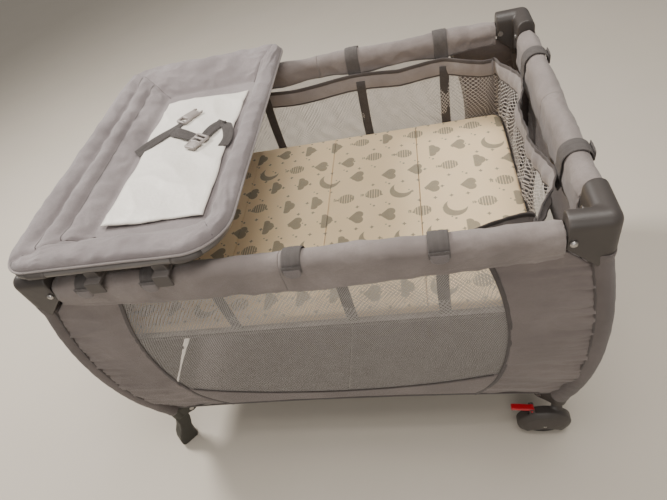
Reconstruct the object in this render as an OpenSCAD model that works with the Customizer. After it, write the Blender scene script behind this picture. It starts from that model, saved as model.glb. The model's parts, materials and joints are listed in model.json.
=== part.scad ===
// Folding playpen with a hang-in bassinet, a four-panel mattress and a clip-on changing table.
// Origin: middle of the footprint on the floor. +X right along the long side, +Y to the back, +Z up.
// Most corner hardware is drawn once for the back right corner and mirrored to the other three.

/* [Frame] */
// Length over the corner castings
frame_l = 1066; // [1050:2:1080]
// Width over the corner castings
frame_w = 746; // [736:2:760]
// Height of the top of the corner castings
frame_h = 748; // [744:1:752]
// Width of a casting arm
arm_w = 40; // [38:1:40]
// Outward bow of each leg at mid height
leg_bow = 18; // [12:1:20]
// Radius of the leg tubes
leg_r = 15; // [14:0.5:15]

/* [Rails] */
// Radius of the top rail tubes
rail_r = 12.5; // [11:0.5:12.5]
// Height of the top rails' centre line
rail_z = 703; // [700:1:703]
// Distance from a casting's outside to its rail pivot
pivot_inset = 70; // [70:1:72]
// Half the distance between a centre latch's two pivots
latch_half = 20; // [18:1:22]
// Half the width of the padded rail covers
cover_r = 23; // [22:0.5:23]

/* [Base] */
// Height of the base tubes' centre line
base_z = 130; // [126:1:130]
// Radius of the base tubes
base_r = 11; // [9:0.5:11]

/* [Wheels] */
// Radius of the wheels
wheel_r = 47; // [44:1:48]
// Distance of the wheels from the middle along the length
wheel_x = 466; // [462:1:468]
// Outer radius of the wheel hoods
hood_r = 62; // [60:1:62]

/* [Bassinet] */
// Half the length of the bassinet
bassinet_x = 466; // [460:1:466]
// Half the width of the bassinet
bassinet_y = 317; // [312:1:317]
// Height of the underside of the bassinet
bassinet_z = 446; // [440:1:450]
// Thickness of the mattress
mattress_t = 28; // [20:1:28]

/* [Changing table] */
// Middle of the changing table along the length
changer_x = -304; // [-308:1:-300]
// Length of the changing table along the playpen
changer_l = 448; // [440:2:452]
// Width of the changing table across the playpen
changer_w = 740; // [730:2:744]
// Height of the rim of the changing table
changer_z = 788; // [786:1:792]

/* [Hidden] */
$fn = 48;
eps = 0.5;

cx = frame_l / 2;
cy = frame_w / 2;
arm_r = arm_w / 2;
rail_x = cx - arm_r;
rail_y = cy - arm_r;
pivot_x = cx - pivot_inset;
pivot_y = cy - pivot_inset;
run_x = pivot_x - latch_half;
run_y = pivot_y - latch_half;
casting_end_x = cx - 79;
casting_end_y = cy - 92;
casting_foot = frame_h - 111;
slot_half = rail_r + 2;
slot_deep = rail_r + 4.5;
pin_r = 3.6;
bore_r = 3.68;

// A leg is an arc in the upright diagonal plane through its corner, widest at leg_mid_z.
leg_mid_z = 430;
leg_end_z = 140;
leg_top_z = casting_foot - 4;
leg_plug_r = leg_r - 0.8;
leg_arc_r = 884;
leg_low_a = asin((leg_mid_z - leg_end_z) / leg_arc_r);
leg_high_a = asin((leg_top_z - leg_mid_z) / leg_arc_r);
leg_mid_x = rail_x + leg_bow;
leg_mid_y = rail_y + leg_bow;
leg_drop = leg_arc_r * (1 - cos(leg_low_a)) * sqrt(0.5);
leg_end_x = leg_mid_x - leg_drop;
leg_end_y = leg_mid_y - leg_drop;

// The base tubes run as far along X and Y as the rail halves, so both close the fold together.
hub_x = 20;
hub_y = 35;
base_pivot_x = hub_x + run_x;
base_pivot_y = hub_y + run_y;
base_a = atan2(run_y, run_x);
base_l = sqrt(run_x * run_x + run_y * run_y);
lug_t = 4;
lug_off = base_r + 1.5;

wheel_y = rail_y;
axle_r = 4;
hood_out = 372;
hood_in = 334;
hood_low = 18;
brake_x = 436;
brake_z = 104;

cover_z = rail_z + 2;
cover_low = 674;
flap_low = 656;
wall_t = 3;
wall_low = 160;
wall_high = 684;
floor_z = 157;

bassinet_top = 668;
mattress_z = 466;
board_top = mattress_z - 0.5;
mattress_x = bassinet_x - 5;
mattress_y = bassinet_y - 5;
panel_l = mattress_x / 2;
clip_w = 34;
clip_t = 2.5;
front_clips = [-380, -244, 23, 266];
back_clips = [-380, -244, 92, 318];
side_clip_y = 173;
clip_low = 708;
tab_low = 696;

changer_tube_r = 8;
rim_z = changer_z - 19;
tray_z = rim_z - 32;
basin_z = tray_z + 12;
basin_x = changer_x + 39;
basin_half_x = 123;
basin_half_y = 294;
tray_wall = 30;
hook_x = [changer_x - 39, changer_x + 97];
hook_half = 16;
hook_low = 713;
saddle_z = 735;
changer_bend = 45;
changer_end_y = changer_w / 2 - 3;
changer_bend_x = changer_l / 2 - 14 - changer_bend;
changer_bend_y = changer_end_y - changer_bend;
changer_tube_z = rim_z - changer_tube_r - 0.8;

// ---------- helpers ----------

// Mirrors a back right corner's child to the corner on the sx side and the sy side.
module corner(sx, sy) {
    mirror([sx < 0 ? 1 : 0, 0, 0]) mirror([0, sy < 0 ? 1 : 0, 0]) children();
}

// A box given by its lowest and highest corners.
module span(a, b) {
    translate(a) cube([b[0] - a[0], b[1] - a[1], b[2] - a[2]]);
}

// A cylinder along X or Y that starts at p.
module rod_x(p, r, l) {
    translate(p) rotate([0, 90, 0]) cylinder(r = r, h = l);
}
module rod_y(p, r, l) {
    translate(p) rotate([-90, 0, 0]) cylinder(r = r, h = l);
}

// Extrudes an outline drawn in X and Z along +Y, from y0 to y1.
module along_y(y0, y1) {
    translate([0, y1, 0]) rotate([90, 0, 0]) linear_extrude(y1 - y0) children();
}

// Extrudes an outline drawn in Y and Z along +X, from x0 to x1.
module along_x(x0, x1) {
    translate([x0, 0, 0]) rotate([90, 0, 90]) linear_extrude(x1 - x0) children();
}

// A closed tube that follows a loop of points, with `sides` flats round it.
module loop_tube(pts, r, sides) {
    n = len(pts);
    rings = [for (i = [0 : n - 1])
        let (d = pts[(i + 1) % n] - pts[(i + n - 1) % n], out = [d[1], -d[0], 0] / norm([d[0], d[1]]),
            up = cross(out, d) / norm(cross(out, d)))
        for (k = [0 : sides - 1]) pts[i] + r * (cos(360 * k / sides) * out + sin(360 * k / sides) * up)];
    at = function (i, k) (i % n) * sides + k % sides;
    polyhedron(rings, [for (i = [0 : n - 1], k = [0 : sides - 1], half = [0, 1])
        half == 0 ? [at(i, k), at(i, k + 1), at(i + 1, k + 1)] : [at(i, k), at(i + 1, k + 1), at(i + 1, k)]]);
}

// Turns a child drawn along +X to the base tube's direction at the back right corner.
module base_dir() {
    rotate([0, 0, base_a]) children();
}

// ---------- corner castings, legs and rivets ----------

module arm_outline(at) {
    translate([at, frame_h - arm_r]) circle(r = arm_r);
    translate([at - arm_r, rail_z - 15]) square([arm_w, frame_h - arm_r - rail_z + 15]);
}

// Gusset between an arm and the leg cup, from the arm's end to the middle of the cup.
module web_outline(cup, end) {
    polygon([
        [end, rail_z - 3], [end, rail_z - 14], [cup - 7, casting_foot + 4], [cup - 2, casting_foot],
        [cup, casting_foot], [cup, rail_z - 3],
    ]);
}

// Two half-round arms that meet in a ball over the cup for the leg.
module casting() {
    color("#4a4441") difference() {
        union() {
            along_x(casting_end_x, rail_x) arm_outline(rail_y);
            along_y(casting_end_y, rail_y) arm_outline(rail_x);
            along_y(cy - arm_w, cy) web_outline(rail_x, casting_end_x);
            along_x(cx - arm_w, cx) web_outline(rail_y, casting_end_y);
            translate([rail_x, rail_y, frame_h - arm_r]) sphere(r = arm_r);
            translate([rail_x, rail_y, casting_foot]) cylinder(r = arm_r, h = frame_h - arm_r - casting_foot);
        }
        // slots that the rail ends swing down through
        span([casting_end_x - eps, rail_y - slot_half, casting_foot - eps],
            [pivot_x + slot_deep, rail_y + slot_half, rail_z + rail_r + 3]);
        span([rail_x - slot_half, casting_end_y - eps, casting_foot - eps],
            [rail_x + slot_half, pivot_y + slot_deep, rail_z + rail_r + 3]);
        // socket for the leg and holes for the rail pins
        translate([rail_x, rail_y, casting_foot - eps]) cylinder(r = leg_plug_r + 0.05, h = 86);
        rod_y([pivot_x, cy - arm_w - eps, rail_z], pin_r + 0.02, arm_w + 2 * eps);
        rod_x([cx - arm_w - eps, pivot_y, rail_z], pin_r + 0.02, arm_w + 2 * eps);
    }
}

module leg() {
    color("#5a5250") {
        translate([rail_x, rail_y, leg_top_z - 12]) cylinder(r = leg_plug_r, h = 98);
        translate([leg_mid_x, leg_mid_y, leg_mid_z]) rotate([0, 0, 45])
            translate([-leg_arc_r, 0, 0]) rotate([90, 0, 0]) rotate([0, 0, -leg_low_a])
            rotate_extrude(angle = leg_low_a + leg_high_a, $fn = 96) translate([leg_arc_r, 0]) circle(r = leg_r);
    }
}

// A pin along X or Y with a domed head on each end.
module pin(p, l, dir) {
    translate(p) rotate(dir == "y" ? [-90, 0, 0] : [0, 90, 0]) {
        cylinder(r = pin_r, h = l);
        translate([0, 0, -2]) cylinder(r = 6, h = 2);
        translate([0, 0, l]) cylinder(r = 6, h = 2);
    }
}

module rivets(wheeled) {
    color("#b9b4b0") {
        pin([pivot_x, cy - arm_w, rail_z], arm_w, "y");
        pin([cx - arm_w, pivot_y, rail_z], arm_w, "x");
        translate([base_pivot_x, base_pivot_y, base_z]) base_dir()
            translate([0, -lug_off - lug_t, 0]) pin([0, 0, 0], 2 * (lug_off + lug_t), "y");
        if (wheeled) {
            rod_y([wheel_x, hood_in - 1, wheel_r], axle_r, hood_out - hood_in + 2);
            rod_y([wheel_x, hood_out, wheel_r], 6.5, 2);
        }
    }
}

// ---------- feet, wheel brackets, wheels and brakes ----------

// Cup for the leg's lower end with the two lugs that hold a base tube.
module leg_end_bracket() {
    reach = norm([leg_end_x - base_pivot_x, leg_end_y - base_pivot_y]);
    difference() {
        union() {
            translate([leg_end_x, leg_end_y, 114]) cylinder(r = leg_r + 6, h = 42);
            translate([base_pivot_x, base_pivot_y, 0]) base_dir() for (s = [-1, 1])
                along_y(s * (lug_off + lug_t / 2) - lug_t / 2, s * (lug_off + lug_t / 2) + lug_t / 2) {
                    translate([0, base_z]) circle(r = 15);
                    translate([0, base_z - 15]) square([reach - 8, 36]);
                    translate([-13, base_z]) square([20, 21]);
                }
        }
        // tilted socket for the leg
        translate([leg_end_x, leg_end_y, leg_end_z]) rotate([0, 0, 45]) rotate([0, leg_low_a, 0])
            translate([0, 0, -1]) cylinder(r = leg_r + 0.6, h = 60);
        // room for the end of the base tube
        translate([base_pivot_x, base_pivot_y, base_z]) base_dir()
            rod_y([0, -lug_off, 0], base_r + 3, 2 * lug_off);
        translate([base_pivot_x, base_pivot_y, base_z]) base_dir()
            rod_y([0, -lug_off - lug_t - 1, 0], pin_r + 0.02, 2 * (lug_off + lug_t + 1));
    }
}

module foot() {
    color("#3c3a34") {
        leg_end_bracket();
        // boot-shaped pad in the diagonal plane
        translate([leg_end_x, leg_end_y, 0]) rotate([0, 0, 45]) along_y(-17, 17)
            polygon([
                [48, 0], [53, 8], [52, 22], [44, 44], [30, 66], [21, 88], [18, 120], [-18, 120], [-16, 96],
                [-9, 74], [-2, 56], [2, 34], [1, 14], [6, 0],
            ]);
    }
}

module wheel_bracket() {
    color("#45413e") {
        difference() {
            union() {
                leg_end_bracket();
                translate([leg_end_x, leg_end_y, 96]) cylinder(r = 13, h = 22);
            }
            rod_y([wheel_x, 300, wheel_r], hood_r - 1, 80);
        }
        difference() {
            union() {
                rod_y([wheel_x, hood_in, wheel_r], hood_r, hood_out - hood_in);
                for (y = [rail_y - 12, rail_y + 8]) along_y(y, y + 4) {
                    translate([brake_x, brake_z]) circle(r = 7);
                    translate([brake_x - 5, brake_z - 16]) square([18, 16]);
                }
            }
            rod_y([wheel_x, hood_in + 4, wheel_r], hood_r - 4, hood_out - hood_in - 8);
            rod_y([wheel_x, hood_in - 1, wheel_r], axle_r, hood_out - hood_in + 2);
            rod_y([wheel_x, hood_in - 1, -15], 50, hood_out - hood_in + 2);
            span([wheel_x - 80, hood_in - 1, -20], [wheel_x + 80, hood_out + 1, hood_low]);
            rod_y([brake_x, rail_y - 20, brake_z], 2.5, 40);
            span([brake_x - 30, rail_y - 8, brake_z - 7.5], [brake_x + 7.5, rail_y + 8, brake_z + 20]);
        }
    }
}

module wheel() {
    color("#2f2c2b") difference() {
        union() {
            rod_y([wheel_x, wheel_y - 11, wheel_r], wheel_r, 22);
            rod_y([wheel_x, wheel_y - 14, wheel_r], 12, 28);
        }
        for (s = [-1, 1]) rod_y([wheel_x, wheel_y + (s > 0 ? 6 : -12), wheel_r], wheel_r - 9, 6);
        rod_y([wheel_x, wheel_y - 16, wheel_r], axle_r + 0.08, 32);
    }
    color("#2f2c2b") difference() {
        rod_y([wheel_x, wheel_y - 14, wheel_r], 12, 28);
        rod_y([wheel_x, wheel_y - 16, wheel_r], axle_r + 0.08, 32);
    }
}

module brake_lever() {
    color("#c01020") {
        rod_y([brake_x, rail_y - 7, brake_z], 6, 14);
        rod_y([brake_x, rail_y - 12, brake_z], 2.42, 24);
        along_y(rail_y - 7, rail_y + 7)
            polygon([[brake_x, brake_z - 3], [brake_x, brake_z + 5], [brake_x - 42, brake_z + 13],
                [brake_x - 47, brake_z + 12], [brake_x - 47, brake_z + 6]]);
    }
}

// ---------- top rails ----------

// A rail half: a tube along +X from its casting pivot at 0 to its latch pivot at l.
module rail_half(l) {
    color("#8e8a88") difference() {
        union() {
            difference() {
                rod_x([0, 0, 0], rail_r, l);
                rod_x([14, 0, 0], rail_r - 1.6, l - 28);
            }
            for (x = [0, l]) rod_y([x, -rail_r + 0.4, 0], rail_r - 0.3, 2 * rail_r - 0.8);
        }
        for (x = [0, l]) rod_y([x, -rail_r - 1, 0], bore_r, 2 * rail_r + 2);
    }
}

// Padded cover over a rail half, from x0 to x1 measured from the casting pivot towards the latch.
module rail_cover(x0, x1) {
    color("#a59d9b") difference() {
        along_x(x0, x1) difference() {
            union() {
                translate([0, cover_z]) circle(r = cover_r);
                translate([-cover_r, cover_low]) square([2 * cover_r, cover_z - cover_low]);
                translate([-cover_r, flap_low]) square([3, cover_low - flap_low + 1]);
            }
            translate([0, rail_z]) circle(r = rail_r + 0.5);
            translate([-16.5, cover_low - 1]) square([33, 16]);
        }
        // pocket around the centre latch
        span([x1 - 36, -18.5, cover_low - 1], [x1 + 1, 18.5, rail_z + 19.5]);
    }
}

// Places a child that runs along +X from a casting pivot, with its outside at -Y, on one rail half.
// side is front, back, left or right; far is -1 for the half at the left or front end.
module on_rail(side, far) {
    if (side == "front") mirror([far > 0 ? 1 : 0, 0, 0]) translate([-pivot_x, -rail_y, 0]) children();
    if (side == "back") mirror([0, 1, 0]) mirror([far > 0 ? 1 : 0, 0, 0])
        translate([-pivot_x, -rail_y, 0]) children();
    if (side == "right") mirror([0, far > 0 ? 1 : 0, 0]) translate([rail_x, -pivot_y, 0])
        rotate([0, 0, 90]) children();
    if (side == "left") mirror([1, 0, 0]) mirror([0, far > 0 ? 1 : 0, 0]) translate([rail_x, -pivot_y, 0])
        rotate([0, 0, 90]) children();
}

module rail(side, far) {
    on_rail(side, far) translate([0, 0, rail_z])
        rail_half(side == "front" || side == "back" ? run_x : run_y);
}

module cover(side, far) {
    long = side == "front" || side == "back";
    on_rail(side, far) rail_cover(long ? 11 : 24, (long ? run_x : run_y) + latch_half - 0.3);
}

// Centre latch: a channel that holds the two rail ends on one pin each.
module centre_latch() {
    color("#4a4441") {
        difference() {
            span([-latch_half - 13, -rail_r - 4.5, rail_z - rail_r - 5],
                [latch_half + 13, rail_r + 4.5, rail_z + 13]);
            span([-latch_half - 14, -rail_r - 0.6, rail_z - rail_r - 1.5],
                [latch_half + 14, rail_r + 0.6, rail_z + 14]);
        }
        for (s = [-1, 1]) rod_y([s * latch_half, -rail_r - 4, rail_z], pin_r, 2 * rail_r + 8);
    }
}

module latch(side) {
    if (side == "front") translate([0, -rail_y, 0]) centre_latch();
    if (side == "back") translate([0, rail_y, 0]) centre_latch();
    if (side == "left") translate([-rail_x, 0, 0]) rotate([0, 0, 90]) centre_latch();
    if (side == "right") translate([rail_x, 0, 0]) rotate([0, 0, 90]) centre_latch();
}

// ---------- folding base ----------

module base_tube() {
    color("#8e8a88") translate([hub_x, hub_y, base_z]) base_dir() difference() {
        union() {
            difference() {
                rod_x([0, 0, 0], base_r, base_l);
                rod_x([13, 0, 0], base_r - 1.5, base_l - 26);
            }
            for (x = [0, base_l]) rod_y([x, -base_r + 0.4, 0], base_r - 0.3, 2 * base_r - 0.8);
        }
        for (x = [0, base_l]) rod_y([x, -base_r - 1, 0], bore_r, 2 * base_r + 2);
    }
}

module base_hub() {
    color("#4a4441") {
        difference() {
            union() {
                span([-34, -52, base_z + base_r + 3], [34, 52, base_z + base_r + 9]);
                for (sx = [-1, 1], sy = [-1, 1]) corner(sx, sy) translate([hub_x, hub_y, 0]) base_dir()
                    for (s = [-1, 1]) along_y(s * (lug_off + lug_t / 2) - lug_t / 2,
                        s * (lug_off + lug_t / 2) + lug_t / 2) {
                            translate([0, base_z]) circle(r = 10);
                            translate([-9, base_z]) square([18, base_r + 6]);
                        }
            }
            span([-18, -4, base_z], [18, 4, base_z + 40]);
        }
        for (sx = [-1, 1], sy = [-1, 1]) corner(sx, sy) translate([hub_x, hub_y, base_z]) base_dir()
            rod_y([0, -lug_off - lug_t, 0], pin_r, 2 * (lug_off + lug_t));
    }
}

// Webbing loop that pulls the hub up through the floor.
module hub_strap() {
    color("#5a544e") along_y(-1.5, 1.5) difference() {
        union() {
            translate([0, 190]) circle(r = 17);
            translate([-17, base_z + base_r + 4]) square([34, 190 - base_z - base_r - 4]);
        }
        translate([0, 190]) circle(r = 14.5);
        translate([-14.5, base_z + base_r + 6.5]) square([29, 190 - base_z - base_r - 6.5]);
    }
}

// ---------- fabric body ----------

module cot_walls() {
    color("#7a7270") {
        for (s = [-1, 1]) {
            span([-476, s * rail_y - wall_t / 2, wall_low], [476, s * rail_y + wall_t / 2, wall_high]);
            span([s * rail_x - wall_t / 2, -316, wall_low], [s * rail_x + wall_t / 2, 316, wall_high]);
        }
    }
}

module cot_floor() {
    color("#6b625e") difference() {
        span([-470, -325, floor_z], [470, 325, floor_z + 2.5]);
        span([-20, -5, floor_z - 1], [20, 5, floor_z + 4]);
    }
}

// ---------- bassinet and mattress ----------

module rounded_plan(x, y, r) {
    square([2 * x - 2 * r, 2 * y], center = true);
    square([2 * x, 2 * y - 2 * r], center = true);
    for (sx = [-1, 1], sy = [-1, 1]) translate([sx * (x - r), sy * (y - r)]) circle(r = r);
}

module bassinet_shell() {
    color("#8f8785") difference() {
        translate([0, 0, bassinet_z]) linear_extrude(bassinet_top - bassinet_z)
            rounded_plan(bassinet_x, bassinet_y, 30);
        translate([0, 0, board_top]) linear_extrude(bassinet_top - board_top + 1)
            rounded_plan(bassinet_x - 2.5, bassinet_y - 2.5, 27.5);
    }
}

// Strap that hooks over a rail cover, centred on X = 0, with its outside at -Y from the rail centre.
// reach is the distance from the rail's centre line to the bassinet wall.
module clip(reach) {
    out = cover_r + 1.2;
    inn = cover_r + 1;
    top = cover_z + cover_r + 0.8;
    span([-clip_w / 2, -out - clip_t, clip_low], [clip_w / 2, -out, top + clip_t]);
    span([-clip_w / 2, -out - clip_t, top], [clip_w / 2, inn + clip_t, top + clip_t]);
    span([-clip_w / 2, inn, 640], [clip_w / 2, inn + clip_t, top + clip_t]);
    span([-clip_w / 2, inn, 640], [clip_w / 2, reach, 650]);
    // pull tab under the buckle
    span([-clip_w / 2 + 3, -out - clip_t - 1, tab_low], [clip_w / 2 - 3, -out - clip_t + 0.6, clip_low + 3]);
}

module bassinet_clips() {
    color("#5f5a58") {
        for (x = front_clips) translate([x, -rail_y, 0]) clip(rail_y - bassinet_y);
        for (x = back_clips) translate([x, rail_y, 0]) mirror([0, 1, 0]) clip(rail_y - bassinet_y);
        for (y = [-side_clip_y, side_clip_y]) {
            translate([rail_x, y, 0]) rotate([0, 0, 90]) clip(rail_x - bassinet_x);
            translate([-rail_x, y, 0]) rotate([0, 0, -90]) clip(rail_x - bassinet_x);
        }
    }
}

module mattress_panel(i) {
    x0 = -mattress_x + i * panel_l;
    color("#e0cdb0") intersection() {
        translate([0, 0, mattress_z]) linear_extrude(mattress_t) rounded_plan(mattress_x, mattress_y, 30);
        span([x0 + 0.4, -mattress_y - 1, mattress_z - 1],
            [x0 + panel_l - 0.4, mattress_y + 1, mattress_z + mattress_t + 1]);
    }
}

// ---------- changing table ----------

module changer_frame() {
    plan = [for (c = [[1, 1, 0], [-1, 1, 90], [-1, -1, 180], [1, -1, 270]], a = [c[2] : 15 : c[2] + 90])
        [changer_x + c[0] * changer_bend_x + changer_bend * cos(a),
            c[1] * changer_bend_y + changer_bend * sin(a), changer_tube_z]];
    color("#8e8a88") loop_tube(plan, changer_tube_r, 12);
}

// Saddles that hang the changing table on the front and back rails.
module changer_hooks() {
    color("#4f4a47") for (x = hook_x, s = [-1, 1]) mirror([0, s > 0 ? 1 : 0, 0]) translate([x, 0, 0]) {
        difference() {
            union() {
                span([-hook_half, -388, saddle_z], [hook_half, -330, saddle_z + 6]);
                span([-hook_half, -388, hook_low], [hook_half, -383, saddle_z + 6]);
                span([-hook_half + 3, -changer_end_y - 8, saddle_z + 6],
                    [hook_half - 3, -changer_end_y + 8, changer_tube_z]);
            }
            rod_x([-20, -changer_end_y, changer_tube_z], changer_tube_r + 0.3, 40);
        }
    }
}

// Padded rim with a sunken tray towards its right side.
module changer_pad() {
    color("#a8a0a0") difference() {
        union() {
            translate([changer_x, 0, rim_z]) linear_extrude(changer_z - rim_z)
                rounded_plan(changer_l / 2, changer_w / 2, 50);
            translate([basin_x, 0, tray_z]) linear_extrude(rim_z - tray_z + 1)
                rounded_plan(basin_half_x + tray_wall, basin_half_y + tray_wall, 30);
        }
        translate([basin_x, 0, basin_z]) linear_extrude(changer_z - basin_z + 1)
            rounded_plan(basin_half_x, basin_half_y, 20);
    }
}

module changer_panel() {
    color("#e6dfd6") translate([basin_x + 3, -32, basin_z])
        linear_extrude(1.2) rounded_plan(108, 224, 6);
}

// A flat strip of webbing between two points at height z.
module webbing(a, b, w, z) {
    d = b - a;
    translate([a[0], a[1], z]) rotate([0, 0, atan2(d[1], d[0])])
        translate([0, -w / 2, 0]) cube([norm(d), w, 1.6]);
}

strap_z = basin_z + 1.6;
buckle_left = [-288, 102];
buckle_right = [-214, -12];

module belt_straps() {
    color("#5a544e") {
        webbing([-372, -18], buckle_left, 24, strap_z);
        webbing([-182, 56], [-158, -30], 24, strap_z);
        webbing([-182, 56], buckle_right, 24, strap_z + 2);
        webbing([-312, 30], buckle_right, 24, strap_z + 4);
    }
}

module belt_buckles() {
    color("#bbafa9") {
        translate([buckle_left[0], buckle_left[1], strap_z + 2]) rotate([0, 0, 53])
            translate([-4, -17, 0]) cube([46, 34, 9]);
        translate([buckle_right[0], buckle_right[1], strap_z + 6]) rotate([0, 0, -115])
            translate([-10, -17, 0]) cube([52, 34, 9]);
    }
}

corner(-1, -1) casting();  // casting_front_left
corner(1, -1) casting();  // casting_front_right
corner(-1, 1) casting();  // casting_back_left
corner(1, 1) casting();  // casting_back_right
corner(-1, -1) leg();  // leg_front_left
corner(1, -1) leg();  // leg_front_right
corner(-1, 1) leg();  // leg_back_left
corner(1, 1) leg();  // leg_back_right
corner(-1, -1) rivets(false);  // rivets_front_left
corner(1, -1) rivets(true);  // rivets_front_right
corner(-1, 1) rivets(false);  // rivets_back_left
corner(1, 1) rivets(true);  // rivets_back_right
corner(-1, -1) foot();  // foot_front_left
corner(-1, 1) foot();  // foot_back_left
corner(1, -1) wheel_bracket();  // wheel_bracket_front
corner(1, 1) wheel_bracket();  // wheel_bracket_back
corner(1, -1) wheel();  // wheel_front
corner(1, 1) wheel();  // wheel_back
corner(1, -1) brake_lever();  // brake_lever_front
corner(1, 1) brake_lever();  // brake_lever_back
rail("front", -1);  // rail_front_left
rail("front", 1);  // rail_front_right
rail("back", -1);  // rail_back_left
rail("back", 1);  // rail_back_right
rail("left", -1);  // rail_left_front
rail("left", 1);  // rail_left_back
rail("right", -1);  // rail_right_front
rail("right", 1);  // rail_right_back
cover("front", -1);  // cover_front_left
cover("front", 1);  // cover_front_right
cover("back", -1);  // cover_back_left
cover("back", 1);  // cover_back_right
cover("left", -1);  // cover_left_front
cover("left", 1);  // cover_left_back
cover("right", -1);  // cover_right_front
cover("right", 1);  // cover_right_back
latch("front");  // latch_front
latch("back");  // latch_back
latch("left");  // latch_left
latch("right");  // latch_right
corner(-1, -1) base_tube();  // base_tube_front_left
corner(1, -1) base_tube();  // base_tube_front_right
corner(-1, 1) base_tube();  // base_tube_back_left
corner(1, 1) base_tube();  // base_tube_back_right
base_hub();
hub_strap();
cot_walls();
cot_floor();
bassinet_shell();
bassinet_clips();
mattress_panel(0);  // mattress_panel_1
mattress_panel(1);  // mattress_panel_2
mattress_panel(2);  // mattress_panel_3
mattress_panel(3);  // mattress_panel_4
changer_frame();
changer_hooks();
changer_pad();
changer_panel();
belt_straps();
belt_buckles();
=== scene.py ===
"""Looks of a folding playpen with a hang-in bassinet, a four-panel mattress and a clip-on changing table.

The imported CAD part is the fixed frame. The tubes, latches and hub stay as they are and get materials.
Moulded parts are rebuilt from their CAD solids with rounded edges, and every soft part is modelled here.
All lengths are in metres, in the frame's own axes: +X right along the long side, +Y back, +Z up.
"""

import functools
import json
import math

import bpy
import numpy as np
from mathutils import Matrix, Vector, noise

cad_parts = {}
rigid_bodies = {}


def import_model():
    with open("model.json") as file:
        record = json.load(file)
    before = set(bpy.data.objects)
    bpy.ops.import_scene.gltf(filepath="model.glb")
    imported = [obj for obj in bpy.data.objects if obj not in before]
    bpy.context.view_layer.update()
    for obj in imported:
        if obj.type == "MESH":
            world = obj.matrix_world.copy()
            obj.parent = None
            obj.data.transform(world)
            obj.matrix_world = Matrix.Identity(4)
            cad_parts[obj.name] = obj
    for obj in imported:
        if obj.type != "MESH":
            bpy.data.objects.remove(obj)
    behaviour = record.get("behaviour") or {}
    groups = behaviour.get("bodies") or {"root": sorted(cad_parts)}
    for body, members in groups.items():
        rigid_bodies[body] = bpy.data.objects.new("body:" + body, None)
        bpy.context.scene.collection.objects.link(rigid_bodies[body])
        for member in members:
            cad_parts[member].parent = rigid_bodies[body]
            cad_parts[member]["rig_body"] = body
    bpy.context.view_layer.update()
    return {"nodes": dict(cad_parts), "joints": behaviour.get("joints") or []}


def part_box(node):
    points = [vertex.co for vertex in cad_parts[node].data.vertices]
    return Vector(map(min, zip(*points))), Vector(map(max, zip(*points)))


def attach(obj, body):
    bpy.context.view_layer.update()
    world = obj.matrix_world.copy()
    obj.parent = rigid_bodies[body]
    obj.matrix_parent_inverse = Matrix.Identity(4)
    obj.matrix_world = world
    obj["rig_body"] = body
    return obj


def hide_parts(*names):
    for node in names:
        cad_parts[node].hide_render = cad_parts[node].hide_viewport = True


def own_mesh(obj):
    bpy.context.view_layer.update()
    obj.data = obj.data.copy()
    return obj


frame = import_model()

scene = bpy.context.scene
nodes = frame["nodes"]

# ---------- places read from the frame ----------


def middle(node):
    low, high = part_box(node)
    return (low + high) / 2


CORNERS = [(sy, sx) for sy in ("front", "back") for sx in ("left", "right")]
SIGN = {"left": -1, "right": 1, "front": -1, "back": 1}
LONG_SIDES = ("front", "back")
SIDES = ("front", "back", "left", "right")
BODY_OF_CORNER = {
    "front_left": "root",
    "front_right": "corner_front_right",
    "back_left": "corner_back_left",
    "back_right": "corner_back_right",
}
RAIL_X = middle("rail_right_front").x
RAIL_Y = middle("rail_back_right").y
RAIL_Z = middle("rail_back_right").z
CASTING_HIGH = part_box("casting_back_right")[1]
LEG_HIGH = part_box("leg_back_right")[1]
WALL_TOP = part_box("cot_walls")[1].z
SHELL_LOW, SHELL_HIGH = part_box("bassinet_shell")
PAD_LOW, PAD_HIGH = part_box("changer_pad")
PAD_MIDDLE = middle("changer_pad")
PAD_HALF = (PAD_HIGH.x - PAD_LOW.x) / 2, (PAD_HIGH.y - PAD_LOW.y) / 2
JOINTS = {j["name"]: j for j in frame["joints"]}


def far_side(node, axis):
    """The larger distance from the middle plane to the node's box, along X (0) or Y (1)."""
    return max(abs(corner[axis]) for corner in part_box(node))


def by_side(side, along, off, z):
    """Points from the distance along a side, the distance out from the playpen's middle, and the height."""
    off = SIGN[side] * off
    return np.stack([along, off, z] if side in LONG_SIDES else [off, along, z], axis=-1)


def rail_off(side):
    """Distance from the playpen's middle out to a side's rail."""
    return RAIL_Y if side in LONG_SIDES else RAIL_X


def rail_half(side):
    """Half of the length of a side's rail, between the corner castings' middles."""
    return RAIL_X if side in LONG_SIDES else RAIL_Y


# The leg's centre line is an arc in the upright diagonal plane through its corner.
LEG_R = 0.015
LEG_ARC_R = 0.884
LEG_WIDEST_Z = 0.430
LEG_STRAIGHT_Z = 0.640
SLEEVE_R = 0.0205


def leg_at(z):
    """Distance of the back right leg's centre line from the middle planes, along X and Y, at height z."""
    rise = (np.minimum(z, LEG_STRAIGHT_Z) - LEG_WIDEST_Z) / LEG_ARC_R
    drop = LEG_ARC_R * (1 - np.sqrt(1 - rise * rise)) / math.sqrt(2)
    return LEG_HIGH.x - LEG_R - drop, LEG_HIGH.y - LEG_R - drop


# ---------- mesh helpers ----------


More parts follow.
